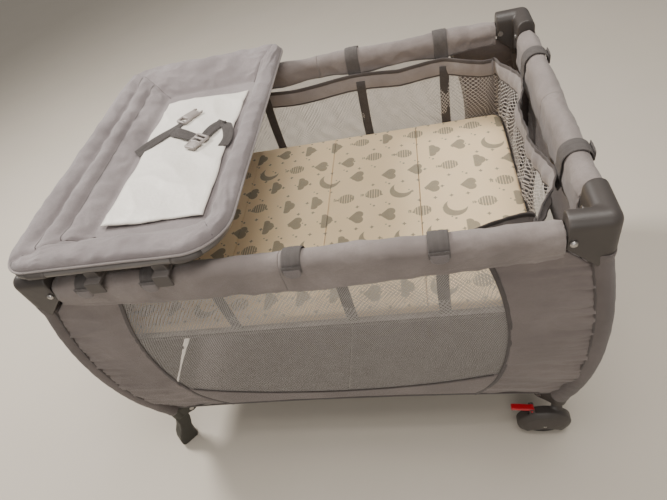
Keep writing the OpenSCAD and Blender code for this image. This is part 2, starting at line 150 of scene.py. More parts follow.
class Shape:
    """The vertices and faces of one piece, gathered from grids, tubes, strips and turned parts."""

    def __init__(self):
        self.verts, self.faces, self.kinds = [], [], []

    def add(self, verts, faces, kind=0):
        start = len(self.verts)
        self.verts += [tuple(v) for v in verts]
        self.faces += [tuple(start + i for i in f) for f in faces]
        self.kinds += [kind] * len(faces)

    def grid(self, points, round_rows=False, round_columns=False, caps=False, kind=0):
        """Quads over an array of rows x columns of points; round_* joins the last to the first."""
        rows, columns = points.shape[:2]
        faces = []
        for i in range(rows if round_rows else rows - 1):
            for j in range(columns if round_columns else columns - 1):
                a, b = i, (i + 1) % rows
                c, d = j, (j + 1) % columns
                faces.append((a * columns + c, a * columns + d, b * columns + d, b * columns + c))
        if caps:
            faces.append(tuple(range(columns))[::-1])
            faces.append(tuple((rows - 1) * columns + j for j in range(columns)))
        self.add(points.reshape(-1, 3), faces, kind)

    def fill(self, start, count, corners):
        """Closes a ring of count points from start with a patch of quads; corners are its corners' places."""
        ends = [*corners[1:], corners[0] + count]
        top, left, bottom, right = (start + np.arange(a, b + 1) % count for a, b in zip(corners, ends))
        bottom, right = bottom[::-1], right[::-1]
        points = np.array(self.verts)
        u = np.linspace(0, 1, len(top))[:, None, None]
        v = np.linspace(0, 1, len(left))[None, :, None]
        patch = (1 - v) * points[top][:, None] + v * points[bottom][:, None]
        patch = patch + (1 - u) * points[right][None] + u * points[left][None]
        patch = patch - (1 - u) * (1 - v) * points[top[0]] - u * (1 - v) * points[top[-1]]
        patch = patch - (1 - u) * v * points[bottom[0]] - u * v * points[bottom[-1]]
        index = np.zeros(patch.shape[:2], int)
        index[:, 0], index[:, -1], index[0], index[-1] = top, bottom, right, left
        inside = patch[1:-1, 1:-1]
        index[1:-1, 1:-1] = len(points) + np.arange(inside[..., 0].size).reshape(inside.shape[:2])
        quads = np.stack([index[:-1, :-1], index[:-1, 1:], index[1:, 1:], index[1:, :-1]], axis=-1)
        self.verts += [tuple(p) for p in inside.reshape(-1, 3)]
        self.faces += [tuple(int(i) for i in q) for q in quads.reshape(-1, 4)]
        self.kinds += [0] * (len(self.faces) - len(self.kinds))

    def tube(self, path, radius, sides=12, closed=False, kind=0):
        """A round tube along a path; radius is one number or one for each point."""
        path = np.asarray(path, float)
        radii = np.broadcast_to(np.asarray(radius, float), (len(path),))
        right, up = frames_along(path, closed)
        turn = np.linspace(0, 2 * math.pi, sides, endpoint=False)
        ring = np.cos(turn)[None, :, None] * right[:, None] + np.sin(turn)[None, :, None] * up[:, None]
        points = path[:, None] + radii[:, None, None] * ring
        self.grid(points, round_rows=closed, round_columns=True, caps=not closed, kind=kind)

    def strip(self, path, normals, width, thickness, ribs=0, kind=0, closed=False):
        """A flat strap along a path. normals point away from its face, and ribs run along it.

        width is one number or one for each point.
        """
        path, normals = np.asarray(path, float), unit(np.asarray(normals, float))
        half = np.broadcast_to(np.asarray(width, float) / 2, (len(path),))[:, None]
        ahead = tangents(path, closed)
        side = unit(np.cross(ahead, normals))
        across = np.linspace(-1, 1, 17 if ribs else 7)
        height = thickness / 2 * (1 - 0.75 * np.abs(across) ** 8)
        if ribs:
            height = height * (1 - 0.35 * (np.cos(across * math.pi * ribs) > 0.55))
        section = [(a, h) for a, h in zip(across, height)] + [(a, -h) for a, h in zip(across, height)][::-1]
        points = np.stack([path + a * half * side + h * normals for a, h in section], axis=1)
        self.grid(points, round_rows=closed, round_columns=True, caps=not closed, kind=kind)

    def turned(self, profile, origin, axis, sides=48, kind=0):
        """A turned solid: profile is (distance along the axis, radius), from end to end."""
        axis = unit(np.asarray(axis, float))
        across = unit(np.cross(axis, [0.3, 0.5, 0.9]))
        other = np.cross(axis, across)
        turn = np.linspace(0, 2 * math.pi, sides, endpoint=False)
        ring = np.cos(turn)[:, None] * across + np.sin(turn)[:, None] * other
        points = np.stack([np.asarray(origin) + t * axis + r * ring for t, r in profile])
        self.grid(points, round_columns=True, caps=True, kind=kind)

    def make(self, name, *materials, weld=0.0):
        mesh = bpy.data.meshes.new(name)
        mesh.from_pydata(self.verts, [], self.faces)
        for material in materials:
            mesh.materials.append(material)
        mesh.polygons.foreach_set("material_index", self.kinds)
        mesh.polygons.foreach_set("use_smooth", [True] * len(self.faces))
        mesh.update()
        obj = bpy.data.objects.new(name, mesh)
        scene.collection.objects.link(obj)
        with_bmesh(obj, weld)
        return obj


def with_bmesh(obj, weld=0.0):
    """Joins doubled points, drops empty faces and turns all faces outwards."""
    import bmesh

    bm = bmesh.new()
    bm.from_mesh(obj.data)
    if weld:
        bmesh.ops.remove_doubles(bm, verts=bm.verts, dist=weld)
    bmesh.ops.dissolve_degenerate(bm, dist=1e-6, edges=bm.edges)
    bmesh.ops.recalc_face_normals(bm, faces=bm.faces)
    bm.to_mesh(obj.data)
    bm.free()


def unit(vectors):
    return vectors / np.maximum(np.linalg.norm(vectors, axis=-1, keepdims=True), 1e-12)


def tangents(path, closed=False):
    if closed:
        return unit(np.roll(path, -1, 0) - np.roll(path, 1, 0))
    return unit(np.gradient(path, axis=0))


def frames_along(path, closed=False):
    """Two directions square to a path at each point, turning as little as possible along it."""
    ahead = tangents(path, closed)
    start = np.cross(ahead[0], [0, 0, 1])
    if np.linalg.norm(start) < 0.1:
        start = np.cross(ahead[0], [1, 0, 0])
    right = [unit(start)]
    for a in ahead[1:]:
        flat = right[-1] - a * np.dot(right[-1], a)
        right.append(unit(flat))
    right = np.array(right)
    return right, np.cross(right, ahead)


def curve_through(points, count):
    """count points, evenly spaced, on a smooth curve through a few points."""
    points = np.asarray(points, float)
    ends = np.vstack([2 * points[0] - points[1], points, 2 * points[-1] - points[-2]])
    fine = []
    for i in range(1, len(ends) - 2):
        p0, p1, p2, p3 = ends[i - 1 : i + 3]
        for t in np.linspace(0, 1, 24, endpoint=False):
            bend = (2 * p0 - 5 * p1 + 4 * p2 - p3) * t * t + (3 * p1 - p0 - 3 * p2 + p3) * t ** 3
            fine.append(0.5 * (2 * p1 + (p2 - p0) * t + bend))
    fine = np.array(fine + [points[-1]])
    along = np.concatenate([[0], np.cumsum(np.linalg.norm(np.diff(fine, axis=0), axis=1))])
    at = np.linspace(0, along[-1], count)
    return np.stack([np.interp(at, along, fine[:, k]) for k in range(fine.shape[1])], axis=1)


def wrinkle(points, scale, seed=0.0):
    """Smooth noise from -1 to 1 at each point, with lumps 1/scale apart. scale may differ by axis."""
    points = np.asarray(points, float) * np.asarray(scale, float) + seed
    return np.array([noise.noise(Vector(p)) for p in points.reshape(-1, 3)]).reshape(points.shape[:-1])


def flat_wrinkle(x, y, scale, seed):
    """Smooth noise that varies along X and Y only."""
    return wrinkle(np.stack([x, y, 0 * x], axis=-1), (*scale, 1), seed)


def smoothstep(low, high, x):
    t = np.clip((np.asarray(x, float) - low) / (high - low), 0, 1)
    return t * t * (3 - 2 * t)


def bump_between(low, high, x):
    """0 at low and high, and 1 half way between them."""
    t = np.clip((np.asarray(x, float) - low) / (high - low), 0, 1)
    return np.sin(math.pi * t)


def bake_modifiers(obj):
    """Applies the object's modifiers to its mesh."""
    graph = bpy.context.evaluated_depsgraph_get()
    mesh = bpy.data.meshes.new_from_object(obj.evaluated_get(graph))
    obj.modifiers.clear()
    obj.data = mesh
    mesh.polygons.foreach_set("use_smooth", [True] * len(mesh.polygons))
    return obj


def thicken(obj, thickness, offset=0.0):
    modifier = obj.modifiers.new("thickness", "SOLIDIFY")
    modifier.thickness = thickness
    modifier.offset = offset
    return bake_modifiers(obj)


def subdivide(obj, levels=1):
    modifier = obj.modifiers.new("subdivision", "SUBSURF")
    modifier.levels = modifier.render_levels = levels
    return bake_modifiers(obj)


def positions(obj):
    co = np.zeros(len(obj.data.vertices) * 3, np.float32)
    obj.data.vertices.foreach_get("co", co)
    return co.reshape(-1, 3).astype(float)


def set_positions(obj, co):
    obj.data.vertices.foreach_set("co", np.asarray(co, np.float32).ravel())
    obj.data.update()


def softened(node, name, material, voxel, rounds, shape=None):
    """A copy of a CAD solid with its edges rounded, as a moulding has them. shape moves its points."""
    obj = bpy.data.objects.new(name, nodes[node].data.copy())
    scene.collection.objects.link(obj)
    obj.data.materials.clear()
    with_bmesh(obj, 1e-5)
    remesh = obj.modifiers.new("voxels", "REMESH")
    remesh.mode = "VOXEL"
    remesh.voxel_size = voxel
    smooth = obj.modifiers.new("rounding", "SMOOTH")
    smooth.factor = 0.5
    smooth.iterations = rounds
    bake_modifiers(obj)
    if shape is not None:
        set_positions(obj, shape(positions(obj)))
    obj.data.materials.append(material)
    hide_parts(node)
    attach(obj, nodes[node]["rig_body"])


def inflate(obj, pinned, pressure, cap, frames=20):
    """Swells a closed mesh by cloth simulation, with the points where pinned is 1 held still."""
    rest = positions(obj)
    group = obj.vertex_groups.new(name="pinned")
    for i in np.nonzero(pinned > 0.01)[0]:
        group.add([int(i)], float(pinned[i]), "REPLACE")
    cloth = obj.modifiers.new("cloth", "CLOTH")
    cloth.settings.quality = 6
    cloth.settings.mass = 0.15
    cloth.settings.tension_stiffness = 12
    cloth.settings.compression_stiffness = 12
    cloth.settings.bending_stiffness = 0.4
    cloth.settings.use_pressure = True
    cloth.settings.uniform_pressure_force = pressure
    cloth.settings.effector_weights.gravity = 0
    cloth.settings.vertex_group_mass = "pinned"
    cloth.collision_settings.use_collision = False
    cloth.point_cache.frame_start, cloth.point_cache.frame_end = 1, frames
    for step in range(1, frames + 1):
        scene.frame_set(step)
    graph = bpy.context.evaluated_depsgraph_get()
    swollen = bpy.data.meshes.new_from_object(obj.evaluated_get(graph))
    obj.modifiers.remove(cloth)
    moved = np.zeros(len(rest) * 3, np.float32)
    swollen.vertices.foreach_get("co", moved)
    bpy.data.meshes.remove(swollen)
    step = moved.reshape(-1, 3) - rest
    far = np.linalg.norm(step, axis=1, keepdims=True)
    set_positions(obj, rest + step * np.minimum(1, cap / np.maximum(far, 1e-9)))
    scene.frame_set(1)


# ---------- material helpers ----------


class Field:
    """A number at each point of a surface, worked out by math nodes as it is written."""

    def __init__(self, tree, socket):
        self.tree, self.socket = tree, socket

    def math(self, operation, *others):
        node = self.tree.nodes.new("ShaderNodeMath")
        node.operation = operation
        for socket, value in zip(node.inputs, (self, *others)):
            if isinstance(value, Field):
                self.tree.links.new(value.socket, socket)
            else:
                socket.default_value = value
        return Field(self.tree, node.outputs[0])

    __add__ = functools.partialmethod(math, "ADD")
    __sub__ = functools.partialmethod(math, "SUBTRACT")
    __mul__ = functools.partialmethod(math, "MULTIPLY")
    __truediv__ = functools.partialmethod(math, "DIVIDE")
    least = functools.partialmethod(math, "MINIMUM")
    most = functools.partialmethod(math, "MAXIMUM")
    size = functools.partialmethod(math, "ABSOLUTE")

    def between(self, low, high):
        """1 below low and 0 above high, or the other way round where low is the larger."""
        node = self.tree.nodes.new("ShaderNodeMapRange")
        node.interpolation_type = "SMOOTHSTEP"
        self.tree.links.new(self.socket, node.inputs["Value"])
        node.inputs["From Min"].default_value = min(low, high)
        node.inputs["From Max"].default_value = max(low, high)
        node.inputs["To Min"].default_value = 1.0 if low < high else 0.0
        node.inputs["To Max"].default_value = 0.0 if low < high else 1.0
        return Field(self.tree, node.outputs["Result"])


def linear(hexa):
    """A colour such as 'a59d9b', as the renderer's linear numbers."""
    srgb = [int(hexa[i : i + 2], 16) / 255 for i in (0, 2, 4)]
    return tuple(c / 12.92 if c <= 0.04045 else ((c + 0.055) / 1.055) ** 2.4 for c in srgb) + (1.0,)


class Finish:
    """A node material in the making: a Principled shader and the object's own coordinates."""

    def __init__(self, name, roughness=0.6, sheen=0.0, metallic=0.0, specular=0.5, coat=0.0):
        self.material = bpy.data.materials.new(name)
        self.material.use_nodes = True
        self.tree = self.material.node_tree
        self.shader = self.tree.nodes["Principled BSDF"]
        amounts = {
            "Roughness": roughness, "Metallic": metallic, "Specular IOR Level": specular,
            "Sheen Weight": sheen, "Sheen Roughness": 0.5, "Coat Weight": coat, "Coat Roughness": 0.35,
        }
        for key, amount in amounts.items():
            self.shader.inputs[key].default_value = amount
        self.place = self.tree.nodes.new("ShaderNodeTexCoord").outputs["Object"]

    def coordinates(self):
        """The X, Y and Z of each point, in metres."""
        split = self.tree.nodes.new("ShaderNodeSeparateXYZ")
        self.tree.links.new(self.place, split.inputs[0])
        return [Field(self.tree, output) for output in split.outputs]

    def noise(self, scale, detail=4.0, roughness=0.55, stretch=(1, 1, 1)):
        mapping = self.tree.nodes.new("ShaderNodeMapping")
        mapping.inputs["Scale"].default_value = stretch
        self.tree.links.new(self.place, mapping.inputs["Vector"])
        node = self.tree.nodes.new("ShaderNodeTexNoise")
        node.inputs["Scale"].default_value = scale
        node.inputs["Detail"].default_value = detail
        node.inputs["Roughness"].default_value = roughness
        self.tree.links.new(mapping.outputs[0], node.inputs["Vector"])
        return Field(self.tree, node.outputs[0])

    def mix(self, factor, first, second):
        """A colour between two colours; each is a hex text or another mix."""
        node = self.tree.nodes.new("ShaderNodeMix")
        node.data_type = "RGBA"
        self.tree.links.new(factor.socket, node.inputs["Factor"])
        for key, value in (("A", first), ("B", second)):
            socket = next(s for s in node.inputs if s.name == key and s.type == "RGBA")
            if isinstance(value, str):
                socket.default_value = linear(value)
            else:
                self.tree.links.new(value, socket)
        return next(s for s in node.outputs if s.type == "RGBA")

    def colour(self, factor, first, second):
        self.tree.links.new(self.mix(factor, first, second), self.shader.inputs["Base Color"])

    def roughness(self, field):
        self.tree.links.new(field.socket, self.shader.inputs["Roughness"])

    def bump(self, field, distance, strength=1.0):
        node = self.tree.nodes.new("ShaderNodeBump")
        node.inputs["Strength"].default_value = strength
        node.inputs["Distance"].default_value = distance
        self.tree.links.new(field.socket, node.inputs["Height"])
        self.tree.links.new(node.outputs[0], self.shader.inputs["Normal"])


def weave(finish, period):
    """Over-and-under threads, the same on faces that look along X, Y or Z."""
    x, y, z = finish.coordinates()
    turn = 2 * math.pi / period
    warp = (x + y * 0.73 + z * 0.31) * turn
    weft = (z + y * 0.57 - x * 0.23) * turn
    return warp.math("SINE") * weft.math("SINE")


def woven(name, light, dark, fleck=0.35, period=0.0016, sheen=0.25, rough=0.82, depth=0.0004):
    """Melange polyester: two shades of yarn, a fine weave and soft fold shading."""
    f = Finish(name, roughness=rough, sheen=sheen, specular=0.25)
    yarn = f.noise(900, 2.0, stretch=(1, 1, 2.5)).between(0.5 + fleck / 2, 0.5 - fleck / 2)
    heather = f.noise(150, 3.0, stretch=(1, 1, 1.8)).between(0.36, 0.64)
    shades = f.mix(f.noise(9, 3.0).between(0.72, 0.28), light, dark)
    f.colour(yarn * 0.35 + heather * 0.22, shades, dark)
    f.bump(weave(f, period) * 0.5 + f.noise(420, 2.0) + f.noise(60, 2.0) * 1.5, depth)
    return f.material


def netting(name, thread, shade, period, width):
    """Knitted net: diagonal threads with open diamonds between them."""
    f = Finish(name, roughness=0.7, sheen=0.1, specular=0.3)
    x, y, z = f.coordinates()
    turn = math.pi / period
    lean = (x + y) * turn
    rise = z * (turn * 0.8)
    first = (lean + rise).math("SINE").size()
    second = (lean - rise).math("SINE").size()
    near = first.least(second)
    f.tree.links.new(near.between(width, width + 0.12).socket, f.shader.inputs["Alpha"])
    f.colour(f.noise(40, 2.0), thread, shade)
    f.bump(near, 0.0006, 0.6)
    return f.material


def moulded(name, light, dark, rough=0.5, coat=0.0, grain=1400, depth=0.00012):
    """Injection-moulded plastic: a fine grain, faint blotches and paler worn edges."""
    f = Finish(name, roughness=rough, specular=0.45, coat=coat)
    worn = f.noise(34, 4.0).between(0.74, 0.5)
    edge = f.tree.nodes.new("ShaderNodeNewGeometry").outputs["Pointiness"]
    edges = Field(f.tree, edge).between(0.56, 0.51)
    base = f.mix(f.noise(14, 3.0), dark, light)
    f.colour(edges * worn * 0.5, base, "8f8884")
    f.roughness(f.noise(60, 3.0) * 0.25 + (rough - 0.12))
    f.bump(f.noise(grain, 2.0), depth)
    return f.material


def coated_steel(name, light, dark, metallic=0.35, rough=0.42):
    """Tube with a thin powder coat, slightly uneven."""
    f = Finish(name, roughness=rough, metallic=metallic, specular=0.5)
    f.colour(f.noise(22, 4.0), dark, light)
    f.roughness(f.noise(160, 3.0) * 0.25 + (rough - 0.12))
    f.bump(f.noise(700, 2.0), 0.0001)
    return f.material


def webbing_finish(name, light, dark, period=0.0022):
    """Woven tape with a herringbone of fine ridges."""
    f = Finish(name, roughness=0.75, sheen=0.15, specular=0.3)
    x, y, z = f.coordinates()
    turn = 2 * math.pi / period
    ridges = ((x + y + z) * turn).math("SINE") * ((x - y + z * 0.4) * turn).math("SINE")
    f.colour(ridges * 0.5 + f.noise(50, 3.0), dark, light)
    f.bump(ridges + f.noise(500, 2.0), 0.0004)
    return f.material


def printed(name):
    """Cream cotton printed with moons, clouds, balloons and hearts, one in each cell, and small stars."""
    f = Finish(name, roughness=0.85, sheen=0.2, specular=0.2)
    x, y = f.coordinates()[:2]
    mask = motifs(f, x, y, 0.076).most(specks(f, x, y, 0.038))
    ground = f.mix(f.noise(7, 3.0), "ffe6bf", "f2d6a8")
    ink = f.mix(f.noise(70, 4.0), "8f8470", "a3977f")
    f.colour(mask * 0.92, ground, ink)
    f.bump(weave(f, 0.0014) * 0.5 + f.noise(50, 3.0) * 2.0, 0.0005)
    return f.material


def cell(f, x, y, pitch, shift):
    """Local coordinates in the cells of a staggered grid, in cell widths, and a random number for each."""
    row = (y / pitch + shift).math("FLOOR")
    across = x / pitch + shift + row * 0.5
    column = across.math("FLOOR")
    local_x = across - column - 0.5
    local_y = y / pitch + shift - row - 0.5
    join = f.tree.nodes.new("ShaderNodeCombineXYZ")
    f.tree.links.new(column.socket, join.inputs[0])
    f.tree.links.new(row.socket, join.inputs[1])
    white = f.tree.nodes.new("ShaderNodeTexWhiteNoise")
    white.noise_dimensions = "2D"
    f.tree.links.new(join.outputs[0], white.inputs["Vector"])
    return local_x, local_y, Field(f.tree, white.outputs["Value"])


def disc(x, y, cx, cy, r, stretch=1.0):
    """Below 0 inside a circle, or an ellipse where stretch isn't 1."""
    dx, dy = x - cx, (y - cy) * stretch
    return (dx * dx + dy * dy).math("SQRT") - r


def motifs(f, x, y, pitch):
    """Crescents, clouds, hearts and striped balloons, which stand upright along X."""
    v, u, pick = cell(f, x, y, pitch, 0.0)
    sway = (pick * 37.0).math("SINE") * 0.07
    u, v = u + sway, v - sway
    moon = disc(u, v, 0, 0, 0.37).most(disc(u, v, 0.17, 0.10, 0.33) * -1.0)
    cloud = disc(u, v, -0.17, -0.03, 0.14).least(disc(u, v, 0.02, 0.06, 0.19))
    cloud = cloud.least(disc(u, v, 0.19, -0.03, 0.13))
    cloud = cloud.most(v * -1.0 - 0.12)
    heart = disc(u, v, -0.12, 0.07, 0.155).least(disc(u, v, 0.12, 0.07, 0.155))
    heart = heart.least((u.size() + v.size() - 0.27).most(v - 0.1))
    balloon = disc(u, v, 0, 0.08, 0.22, 0.8).least((u.size() - 0.055).most((v + 0.31).size() - 0.045))
    balloon = balloon.most(((v * 75.0).math("SINE") - 0.7) * 0.05)
    chosen = moon
    for i, drawing in enumerate((cloud, heart, balloon)):
        gate = pick.between(0.25 * (i + 1), 0.25 * (i + 1) - 0.001)
        chosen = chosen * (gate * -1.0 + 1.0) + drawing * gate
    return chosen.between(-0.012, 0.012)


def specks(f, x, y, pitch):
    """Small four-pointed stars, dots and drops between the larger shapes."""
    u, v, pick = cell(f, x, y, pitch, 0.5)
    star = (u.size().math("POWER", 0.6) + v.size().math("POWER", 0.6)) - 0.36
    dot = disc(u, v, 0.1, -0.08, 0.075).least(disc(u, v, -0.12, 0.1, 0.05))
    gate = pick.between(0.45, 0.449)
    shape = star * (gate * -1.0 + 1.0) + dot * gate
    shown = pick.between(0.8, 0.799)
    return shape.between(-0.02, 0.02) * (shown * -1.0 + 1.0)


def wipe_clean(name):
    """White vinyl-faced panel with a faint sheen and soft creases."""
    f = Finish(name, roughness=0.5, specular=0.4, coat=0.08)
    f.colour(f.noise(16, 4.0), "ece7df", "dfd9cf")
    f.roughness(f.noise(30, 3.0) * 0.3 + 0.35)
    f.bump(f.noise(45, 4.0) * 2.0 + f.noise(900, 2.0) * 0.15, 0.0012)
    return f.material


def studio_floor(name):
    f = Finish(name, roughness=0.75, specular=0.3)
    f.colour(f.noise(3, 3.0), "d3cabd", "cdc4b6")
    f.bump(f.noise(30, 3.0), 0.0002)
    return f.material


RAIL_CLOTH = woven("rail_cloth", "9c918c", "7f7571")
WALL_CLOTH = woven("wall_cloth", "8a7f7b", "756b68")
SLEEVE_CLOTH = woven("sleeve_cloth", "776d6a", "605754")
CHANGER_CLOTH = woven("changer_cloth", "999090", "7f7676", fleck=0.45)
BAND_CLOTH = woven("band_cloth", "a39a97", "8d8481")
TAB_CLOTH = woven("tab_cloth", "8b827f", "787070")
SEAM_TAPE = woven("seam_tape", "6f6665", "5d5554")
BINDING = woven("binding_tape", "5b5350", "4b4442", period=0.002)
FLOOR_CLOTH = woven("floor_cloth", "756c69", "625a57")
FINE_NET = netting("fine_net", "cfc9c4", "b2aba6", 0.0042, 0.31)
WIDE_NET = netting("wide_net", "d2ccc7", "b8b1ac", 0.0088, 0.24)
PRINT = printed("printed_cotton")
WEBBING = webbing_finish("dark_webbing", "57504d", "403a38")
CLIP_WEBBING = webbing_finish("clip_webbing", "6d6663", "554f4c")
VINYL = wipe_clean("white_vinyl")
CASTING_PLASTIC = moulded("casting_plastic", "4b4542", "3c3734", rough=0.46, coat=0.2)
DARK_PLASTIC = moulded("dark_plastic", "49433f", "3a3532", rough=0.46, coat=0.15)
FOOT_PLASTIC = moulded("foot_plastic", "403e37", "33312b", rough=0.55)
TYRE = moulded("wheel_plastic", "322f2e", "282524", rough=0.6)
RED_PLASTIC = moulded("red_plastic", "cf1527", "b50f20", rough=0.35, coat=0.3)
BUCKLE_PLASTIC = moulded("buckle_plastic", "a39a95", "8b837e", rough=0.4, coat=0.15)
HOOK_PLASTIC = moulded("hook_plastic", "5b5552", "4c4744", rough=0.5)
TUBE_COAT = coated_steel("tube_coat", "827d7a", "6f6a67")
ZINC = coated_steel("zinc", "c9c5c1", "aaa5a1", metallic=0.9, rough=0.3)


def finish_piece(obj, body):
    if obj.parent is None:
        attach(obj, body)
    return obj


# ---------- CAD nodes that keep their shape ----------


def dress_cad_nodes():
    finishes = [
        ("leg_", TUBE_COAT), ("rail_", TUBE_COAT), ("base_tube_", TUBE_COAT), ("rivets_", ZINC),
        ("latch_", DARK_PLASTIC), ("base_hub", DARK_PLASTIC), ("casting_", CASTING_PLASTIC),
        ("foot_", FOOT_PLASTIC), ("wheel_", DARK_PLASTIC), ("brake_", RED_PLASTIC), ("hub_strap", WEBBING),
        ("cover_", RAIL_CLOTH), ("cot_", WALL_CLOTH), ("bassinet_", BAND_CLOTH), ("mattress_", PRINT),
        ("changer_", CHANGER_CLOTH), ("belt_", WEBBING),
    ]
    for name, obj in nodes.items():
        obj.data.materials.clear()
        obj.data.materials.append(next(material for start, material in finishes if name.startswith(start)))


# ---------- corner castings, rivets, legs ----------


def make_castings():
    for sy, sx in CORNERS:
        node = f"casting_{sy}_{sx}"
        softened(node, f"moulded_{node}", CASTING_PLASTIC, voxel=0.0019, rounds=18)


HEAD_OUT = 0.002         # from a casting's face out to its rivet heads


def dome(shape, place, axis, r=0.0062, height=0.003):
    """A domed rivet head that stands on a face at place and looks along axis."""
    profile = [(-0.001, r), (0.0006, r)]
    profile += [(0.0006 + height * math.sin(a), r * 0.96 * math.cos(a)) for a in np.linspace(0.1, 1.45, 6)]
    shape.turned(profile, place, axis, sides=28)


def make_rivet_heads():
    for sy, sx in CORNERS:
        x, y = SIGN[sx], SIGN[sy]
        shape = Shape()
        long_pivot = JOINTS[f"rail_{sy}_{sx}_fold"]["pos_m"]
        short_pivot = JOINTS[f"rail_{sx}_{sy}_fold"]["pos_m"]
        reach_x, reach_y = CASTING_HIGH.x + HEAD_OUT, CASTING_HIGH.y + HEAD_OUT
        if sx == "left":
            reach_y = min(far_side(f"rivets_{sy}_{sx}", 1), reach_y)
        dome(shape, (long_pivot[0], y * reach_y, long_pivot[2]), (0, y, 0))
        dome(shape, (x * reach_x, short_pivot[1], short_pivot[2]), (x, 0, 0))
        obj = shape.make(f"rivet_heads_{sy}_{sx}", ZINC)
        finish_piece(obj, BODY_OF_CORNER[f"{sy}_{sx}"])


SLEEVE_LOW, SLEEVE_HIGH = 0.146, 0.668      # heights of a leg sleeve's ends
SLEEVE_CLOTH_T = 0.0016


def make_leg_sleeves():
    """Cloth sleeves round the legs, with soft folds that grow near their ends and a hem at the bottom."""
    heights = np.linspace(SLEEVE_LOW, SLEEVE_HIGH, 90)
    turn = np.linspace(0, 2 * math.pi, 40, endpoint=False)
    for sy, sx in CORNERS:
        x, y = leg_at(heights)
        centre = np.stack([x, y, heights], axis=1)
        ahead = tangents(centre)
        out = unit(np.stack([ahead[:, 2], ahead[:, 2], -(ahead[:, 0] + ahead[:, 1])], axis=1))
        side = np.cross(ahead, out)
        layers = []
        for inset in (0.0, SLEEVE_CLOTH_T):
            r = SLEEVE_R - inset
            ring = np.cos(turn)[None, :, None] * out[:, None] + np.sin(turn)[None, :, None] * side[:, None]
            points = centre[:, None] + r * ring
            folds = wrinkle(points, (30, 30, 55), SIGN[sx] * 3 + SIGN[sy] * 7)
            near_end = 1 + 1.5 * np.exp(-(heights - SLEEVE_LOW) / 0.04)
            near_end = near_end + np.exp(-(SLEEVE_HIGH - heights) / 0.05)
            points += ring * (0.0009 * folds * near_end[:, None])[..., None]
            hem = 0.0012 * np.exp(-(((heights - SLEEVE_LOW - 0.006) / 0.004) ** 2))
            points += ring * hem[:, None, None]
            layers.append(points)
        outer, inner = layers
        shape = Shape()
        wall = np.concatenate([outer, inner[::-1]], axis=0)
        shape.grid(wall * np.array([SIGN[sx], SIGN[sy], 1]), round_rows=True, round_columns=True)
        obj = shape.make(f"leg_sleeve_{sy}_{sx}", SLEEVE_CLOTH)
        finish_piece(obj, BODY_OF_CORNER[f"{sy}_{sx}"])


# ---------- padded rail covers ----------

COVER_T = 0.003
COVER_TOP_R = 0.0225
COVER_MIDDLE_Z = RAIL_Z + 0.002


def cover_section(low_out, low_in):
    """Outline of a cover across the rail, as (outwards, height): up inside, over the top and down outside."""
    arc = np.linspace(math.pi, 0, 24)
    inside = [(-COVER_TOP_R, z) for z in np.linspace(low_in, COVER_MIDDLE_Z - 0.004, 7)]
    top = [(COVER_TOP_R * math.cos(a), COVER_MIDDLE_Z + COVER_TOP_R * math.sin(a)) for a in arc]
    outside = [(COVER_TOP_R + 0.0012, z) for z in np.linspace(COVER_MIDDLE_Z - 0.005, low_out, 15)]
    return np.array(inside + top + outside)


def cover_puff(places, section, along, reach, gap, seed):
    """How far a cover's cloth stands out from its foam: dents, pulled creases and gathers at the casting."""
    dents = wrinkle(places, (7, 26, 26), seed)
    pulls = wrinkle(places + 0.35 * places[..., [2, 0, 1]], (13, 16, 22), seed + 9)
    creases = -np.abs(wrinkle(places - 0.5 * places[..., [2, 0, 1]], (20, 24, 34), seed + 20)) ** 0.6
    fine = wrinkle(places, (55, 60, 60), seed + 31)
    near_end = np.exp(-(reach - along) / 0.035)[:, None]
    gathers = wrinkle(places, (16, 90, 90), seed + 40) * near_end
    on_side = smoothstep(COVER_MIDDLE_Z + 0.02, COVER_MIDDLE_Z - 0.01, section[..., 1])
    puff = 0.0034 * dents + 0.0022 * pulls + 0.0026 * (creases + 0.45) * (0.45 + on_side) + 0.0007 * fine
    bands = wrinkle(places + 0.2 * places[..., [1, 2, 0]], (27, 8, 8), seed + 52)
    puff += 0.0040 * bands * (0.3 + np.abs(wrinkle(places, (5, 5, 5), seed + 60)))
    puff += 0.0034 * gathers - 0.0030 * smoothstep(0.014, 0.0, reach - along)[:, None]
    hem = np.exp(-(((section[..., 1] - section[:, -1:, 1] - 0.007) / 0.0016) ** 2)) * (section[..., 0] > 0.01)
    return puff * smoothstep(-0.002, 0.02, along - gap)[:, None] - 0.0010 * hem


